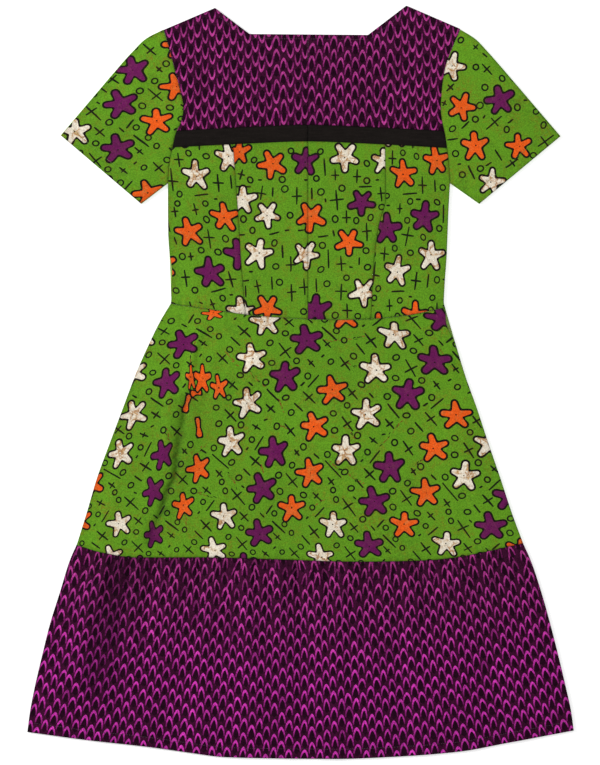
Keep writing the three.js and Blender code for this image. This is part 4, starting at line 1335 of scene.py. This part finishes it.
def sleeve(which, polys, under_polys):
    name = "sleeve_" + which
    loop, kinds = sleeve_loop(which)
    if area2(loop) < 0:
        loop = loop[::-1]
        kinds = kinds[-2::-1] + kinds[-1:]
    folds = [(a, b) for a, b, k in zip(loop, loop[1:] + loop[:1], kinds) if k == "fold"]

    def z_out(x, y):
        return upper_z(x, y)
    pts = np.concatenate([grid(loop, 5.0, 31), inset_rows(loop, (0.7, 1.6, 3.2))])
    coarse = grid(loop, 11.0, 33, 4.0).tolist()
    ring_xy = loop
    for _ in range(4):          # until the prints of both sides cross the same border
        xy, tris, top, _ = cut(ring_xy, pts.tolist(), polys)
        edge = border(tris)
        ring_xy = [tuple(xy[k]) for k in edge]
        m = len(edge)
        ox2, ot2, otop2, oi2 = cut(ring_xy, coarse, under_polys)
        edge2 = border(ot2)
        if len(edge2) == m:
            break
        ring_xy = [tuple(ox2[k]) for k in edge2]
    kind = []
    for k in range(m):
        p = np.array(ring_xy[k]) * 0.5 + np.array(ring_xy[(k + 1) % m]) * 0.5
        d = [to_segment(p[0], p[1], a[0], a[1], b[0], b[1])[0] for a, b in zip(loop, loop[1:] + loop[:1])]
        kind.append(kinds[int(np.argmin(d))])
    # inner loop: a little inside the outer one along the folds
    rp = np.array(ring_xy)
    t = np.roll(rp, -1, 0) - np.roll(rp, 1, 0)
    t = t / np.maximum(np.linalg.norm(t, axis=1)[:, None], 1e-9)
    inw = np.stack([-t[:, 1], t[:, 0]], 1)
    inner_xy = []
    for k in range(m):
        near = kind[k] == "fold" or kind[k - 1] == "fold"
        if kind[k] == "fold" and kind[k - 1] == "fold":
            inner_xy.append(tuple(rp[k] + inw[k] * 1.0))
        elif near:
            # a corner: move along the rim
            q = rp[(k + 1) % m] if kind[k] == "rim" else rp[k - 1]
            d = q - rp[k]
            ln = np.linalg.norm(d)
            step = min(1.0, ln * 0.6)
            inner_xy.append(tuple(rp[k] + d / ln * step))
        else:
            inner_xy.append(tuple(rp[k]))
    ix1, it1, _, ii1 = cut(inner_xy, coarse, [])
    ix2, it2, _, ii2 = cut(inner_xy, coarse, [])
    for nm, tr, idx in (("under", ot2, oi2), ("inner", it1, ii1)):
        if len(set(idx[k] for k in range(m))) != m or len(border(tr)) != m:
            raise RuntimeError(name + " " + nm + ": another border")
    # heights
    z1 = z_out(xy[:, 0], xy[:, 1])
    zi1 = upper_low(ix1[:, 0], ix1[:, 1])
    zo2 = np.zeros(len(ox2))
    zi2 = np.full(len(ix2), CLOTH)
    mid = []
    for k in range(m):
        if kind[k] == "fold" or kind[k - 1] == "fold":
            p = rp[k] - inw[k] * 0.45
            mid.append((p[0], p[1], z1[edge[k]] * 0.5))
    mid_index = {}
    n = 0
    for k in range(m):
        if kind[k] == "fold" or kind[k - 1] == "fold":
            mid_index[k] = n
            n += 1
    b1 = len(xy)
    b2 = b1 + len(ox2)
    b3 = b2 + len(ix1)
    b4 = b3 + len(ix2)
    verts = np.concatenate([np.column_stack([xy, z1]), np.column_stack([ox2, zo2]), np.column_stack([ix1, zi1]),
                            np.column_stack([ix2, zi2]), np.array(mid)]) / 1000
    OT = lambda k: edge[k % m]
    OB = lambda k: oi2[k % m] + b1
    IT = lambda k: ii1[k % m] + b2
    IB = lambda k: ii2[k % m] + b3
    MD = lambda k: mid_index[k % m] + b4
    faces = [tuple(t) for t in tris] + [(a + b1, c + b1, b + b1) for a, b, c in ot2]
    faces += [(a + b2, c + b2, b + b2) for a, b, c in it1] + [(a + b3, b + b3, c + b3) for a, b, c in it2]
    n_sheet = len(faces)
    for k in range(m):
        if kind[k] == "fold":
            faces.append((OT(k), MD(k), MD(k + 1), OT(k + 1)))
            faces.append((MD(k), OB(k), OB(k + 1), MD(k + 1)))
            faces.append((IT(k), IT(k + 1), IB(k + 1), IB(k)))
        else:
            faces.append((OT(k), IT(k), IT(k + 1), OT(k + 1)))
            faces.append((OB(k), OB(k + 1), IB(k + 1), IB(k)))
        if kind[k] != kind[k - 1]:
            if kind[k] == "rim":      # the fold wall ends here
                faces.append((OT(k), MD(k), OB(k), IB(k), IT(k)))
            else:
                faces.append((OT(k), IT(k), IB(k), OB(k), MD(k)))
    c1, w1 = dye_of(tris, top, polys, xy, GROUND)
    shade_in(c1, tris, xy, loop)
    c2, w2 = dye_of(ot2, otop2, under_polys, ox2, GROUND)
    c2, w2 = c2[:, [0, 2, 1]], w2[:, [0, 2, 1]]
    rest_in = 3 * (len(it1) + len(it2))
    rest_wall = sum(len(f) for f in faces[n_sheet:])
    colour = np.concatenate([c1.reshape(-1, 4), c2.reshape(-1, 4), np.tile(np.array([*LIN[PALE], 1.0]), (rest_in, 1)),
                             np.tile(np.array([*LIN[GROUND], 1.0]), (rest_wall, 1))])
    wear = np.concatenate([w1.reshape(-1, 4), w2.reshape(-1, 4), np.tile(np.array([0, 1.0, 0, 1.0]), (rest_in + rest_wall, 1))])
    # normals
    up = normals_of(z_out, xy[:, 0], xy[:, 1])
    nv = np.zeros_like(verts)
    nv[:b1] = up
    nv[b1:b2] = (0, 0, -1)
    nv[b2:b3] = (0, 0, -1)
    nv[b3:b4] = (0, 0, 1)
    for k in range(m):
        o = np.array((-inw[k][0], -inw[k][1], 0))
        w = 1.3 if k in mid_index else 0.8
        nv[OT(k)] = nv[OT(k)] + w * o
        nv[OB(k)] = nv[OB(k)] + w * o
        nv[IT(k)] = nv[IT(k)] - (o if k in mid_index else -o) * 0.6
        nv[IB(k)] = nv[IB(k)] - (o if k in mid_index else -o) * 0.6
        if k in mid_index:
            nv[MD(k)] = o
    nv = nv / np.linalg.norm(nv, axis=1)[:, None]
    # bake map
    lo, hi = xy.min(0), xy.max(0)
    w, h = hi - lo
    s = 0.97 / max(w * 1.9 + 16, h * 1.0 + 10)
    base = np.array([5 * s + 0.005, 4 * s + 0.005])
    places = np.zeros((len(verts), 2))
    places[:b1] = (xy - lo) * s + base
    places[b1:b2] = (ox2 - lo) * s * 0.42 + base + np.array([(w + 9) * s, 0])
    places[b2:b3] = (ix1 - lo) * s * 0.42 + base + np.array([(w * 1.45 + 12) * s, 0])
    places[b3:b4] = (ix2 - lo) * s * 0.42 + base + np.array([(w + 9) * s, (h * 0.46) * s])
    for k in mid_index:
        places[MD(k)] = (rp[k] - inw[k] * 1.5 - lo) * s + base
    uv = []
    for f in faces[:n_sheet]:
        uv.append(places[list(f)])
    for f in faces[n_sheet:]:
        p = places[list(f)].copy()
        own = [q for q in f if q < b1 or q >= b4]
        if own and len(own) < len(f):
            # other corners sit beside the outer ones
            ref = places[own[0]]
            for i, q in enumerate(f):
                if b1 <= q < b4:
                    p[i] = ref + np.array([0.7, -0.7]) * s * (i + 1)
        elif not own:
            pass
        uv.append(p)
    uv = np.concatenate(uv)
    obj = new_object("cloth_" + name, verts, faces, colour, wear, uv, nv, GREEN_M)
    a = abs(area2(loop)) * 2e-6 * 1.06
    b = box_of(loop)
    length = math.dist(loop[0], loop[-1])
    sh, un = SLEEVE[which]
    wide = 2 * math.dist(sh[0][1:], un[0][1:]) / 1000 + 0.02
    long_ = math.dist(sh[0][1:], sh[-1][1:]) / 1000 + 0.03
    finish_piece(obj, name, (round(wide, 3), round(long_, 3)), round(min(a, 0.98 * wide * long_), 4))
    return obj


loop_l, _ = sleeve_loop("left")
loop_r, _ = sleeve_loop("right")
under_lay = straight("front_skirt")
sleeve("left", repeat_print(straight("sleeve_left"), box_of(loop_l), (-560, 160, -300, 560) if False else None),
       repeat_print(under_lay, box_of(loop_l)))
sleeve("right", chart_print("sleeve_right"), repeat_print(under_lay, box_of(loop_r)))


# ---- stitches ------------------------------------------------------------------------------
def stitches(name, rows, material):
    """Each row is a list of points with its height function; a stitch is a small raised bar."""
    verts, faces, normals = [], [], []
    q = random.Random(len(name))
    for pts, f in rows:
        p = np.array(pts)
        seg = np.linalg.norm(p[1:] - p[:-1], axis=1)
        acc = np.concatenate([[0], np.cumsum(seg)])
        s = 1.5
        while s + 2.4 < acc[-1]:
            a = np.array([np.interp(s, acc, p[:, 0]), np.interp(s, acc, p[:, 1])])
            b = np.array([np.interp(s + 2.3, acc, p[:, 0]), np.interp(s + 2.3, acc, p[:, 1])])
            d = (b - a) / np.linalg.norm(b - a)
            nrm = np.array([-d[1], d[0]])
            off = nrm * q.uniform(-0.1, 0.1)
            ends = np.array([a, a + d * 0.5, b - d * 0.5, b]) + off
            z = f(ends[:, 0], ends[:, 1])
            base = len(verts)
            verts.append((*ends[0], z[0] - 0.05))
            normals.append((0, 0, 1))
            for e, zz in ((ends[1], z[1]), (ends[2], z[2])):
                for u, v in ((-0.27, -0.03), (-0.15, 0.17), (0.15, 0.17), (0.27, -0.03)):
                    w = e + nrm * u
                    verts.append((w[0], w[1], zz + v))
                    normals.append((nrm[0] * u * 3, nrm[1] * u * 3, 1.0))
            verts.append((*ends[3], z[3] - 0.05))
            normals.append((0, 0, 1))
            r1, r2, e = base + 1, base + 5, base + 9
            for k in range(3):
                faces.append((r1 + k, r2 + k, r2 + k + 1, r1 + k + 1))
                faces.append((base, r1 + k, r1 + k + 1))
                faces.append((e, r2 + k + 1, r2 + k))
            faces.append((r1 + 3, r2 + 3, r2, r1))
            faces.append((base, r1 + 3, r1))
            faces.append((e, r2, r2 + 3))
            s += 3.1 + q.uniform(-0.1, 0.1)
    mesh = bpy.data.meshes.new(name)
    mesh.from_pydata([(x / 1000, y / 1000, z / 1000) for x, y, z in verts], [], faces)
    mesh.polygons.foreach_set("use_smooth", [True] * len(mesh.polygons))
    mesh.materials.append(material)
    obj = bpy.data.objects.new(name, mesh)
    scene.collection.objects.link(obj)
    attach(obj, "root")
    COUNT[0] += sum(len(p.vertices) - 2 for p in mesh.polygons)
    return obj


def thread_material(name, c1, c2):
    m = bpy.data.materials.new(name)
    m.use_nodes = True
    nt = m.node_tree
    b = nt.nodes["Principled BSDF"]
    b.inputs["Roughness"].default_value = 0.6
    b.inputs["Sheen Weight"].default_value = 0.2
    tc = nt.nodes.new("ShaderNodeTexCoord")
    n = nt.nodes.new("ShaderNodeTexNoise")
    n.inputs["Scale"].default_value = 900
    nt.links.new(tc.outputs["Object"], n.inputs["Vector"])
    r = nt.nodes.new("ShaderNodeMix")
    r.data_type = "RGBA"
    r.inputs[6].default_value = c1
    r.inputs[7].default_value = c2
    nt.links.new(n.outputs["Fac"], r.inputs[0])
    nt.links.new(r.outputs[2], b.inputs["Base Color"])
    bp = nt.nodes.new("ShaderNodeBump")
    bp.inputs["Strength"].default_value = 0.4
    bp.inputs["Distance"].default_value = 0.0001
    nt.links.new(n.outputs["Fac"], bp.inputs["Height"])
    nt.links.new(bp.outputs[0], b.inputs["Normal"])
    return m


DARK_THREAD = thread_material("plum_thread", srgb(44, 18, 40), srgb(84, 34, 74))
GREEN_THREAD = thread_material("green_thread", srgb(72, 124, 24), srgb(112, 160, 52))

hem_row = [(x, float(hem(x)) + 13.0) for x in np.linspace(-356, 356, 240)]
neck_row_l = [(x, float(neck(x)) - 6.0) for x in np.linspace(-64, 8, 30)]
neck_row_r = [(x, float(neck(x)) - 6.0) for x in np.linspace(12, 85, 30)]
slope_l = [(x, float(neck(x)) - 7.5) for x in np.linspace(-110, -70, 20)]
slope_r = [(x, float(neck(x)) - 7.5) for x in np.linspace(92, 136, 20)]
stitches("stitches_hem", [(hem_row, upper_z)], DARK_THREAD)
stitches("stitches_neck", [(neck_row_l, upper_z), (neck_row_r, upper_z), (slope_l, upper_z), (slope_r, upper_z)], DARK_THREAD)


def sleeve_row(which, inset):
    sh, un = SLEEVE[which]
    a = np.array(sh[-1][1:])
    b = np.array(un[-1][1:])
    back = np.array(sh[-2][1:]) - a
    back = back / np.linalg.norm(back)
    return [tuple(a + (b - a) * t + back * inset) for t in np.linspace(0.02, 0.98, 60)]


stitches("stitches_sleeves", [(sleeve_row("left", 16), upper_z), (sleeve_row("right", 16), upper_z)], GREEN_THREAD)

# ---- floor and light ----------------------------------------------------------------------
floor_mesh = bpy.data.meshes.new("floor")
floor_mesh.from_pydata([(-7, -7, -0.0004), (7, -7, -0.0004), (7, 7, -0.0004), (-7, 7, -0.0004)], [], [(0, 1, 2, 3)])
floor = bpy.data.objects.new("floor", floor_mesh)
scene.collection.objects.link(floor)
fm = bpy.data.materials.new("floor")
fm.use_nodes = True
fb = fm.node_tree.nodes["Principled BSDF"]
fb.inputs["Base Color"].default_value = (0.96, 0.96, 0.96, 1)
fb.inputs["Roughness"].default_value = 1.0
fb.inputs["Specular IOR Level"].default_value = 0.0
fb.inputs["Emission Color"].default_value = (1, 1, 1, 1)
fb.inputs["Emission Strength"].default_value = 0.42
floor_mesh.materials.append(fm)

world = bpy.data.worlds.new("world")
scene.world = world
world.use_nodes = True
world.node_tree.nodes["Background"].inputs[0].default_value = (1, 1, 1, 1)
world.node_tree.nodes["Background"].inputs[1].default_value = 0.50


def area_light(name, where, aim, size, power):
    d = bpy.data.lights.new(name, "AREA")
    d.shape = "SQUARE"
    d.size = size
    d.energy = power
    o = bpy.data.objects.new(name, d)
    o.location = where
    o.rotation_euler = (Vector(aim) - Vector(where)).to_track_quat("-Z", "Y").to_euler()
    scene.collection.objects.link(o)


area_light("key", (-5.2, 1.9, 2.2), (0, 0, 0), 1.3, 330)
area_light("fill", (2.6, 1.9, 2.8), (0, 0, 0), 2.4, 24)
scene.view_settings.view_transform = "Standard"

print("TRIANGLES", COUNT[0])
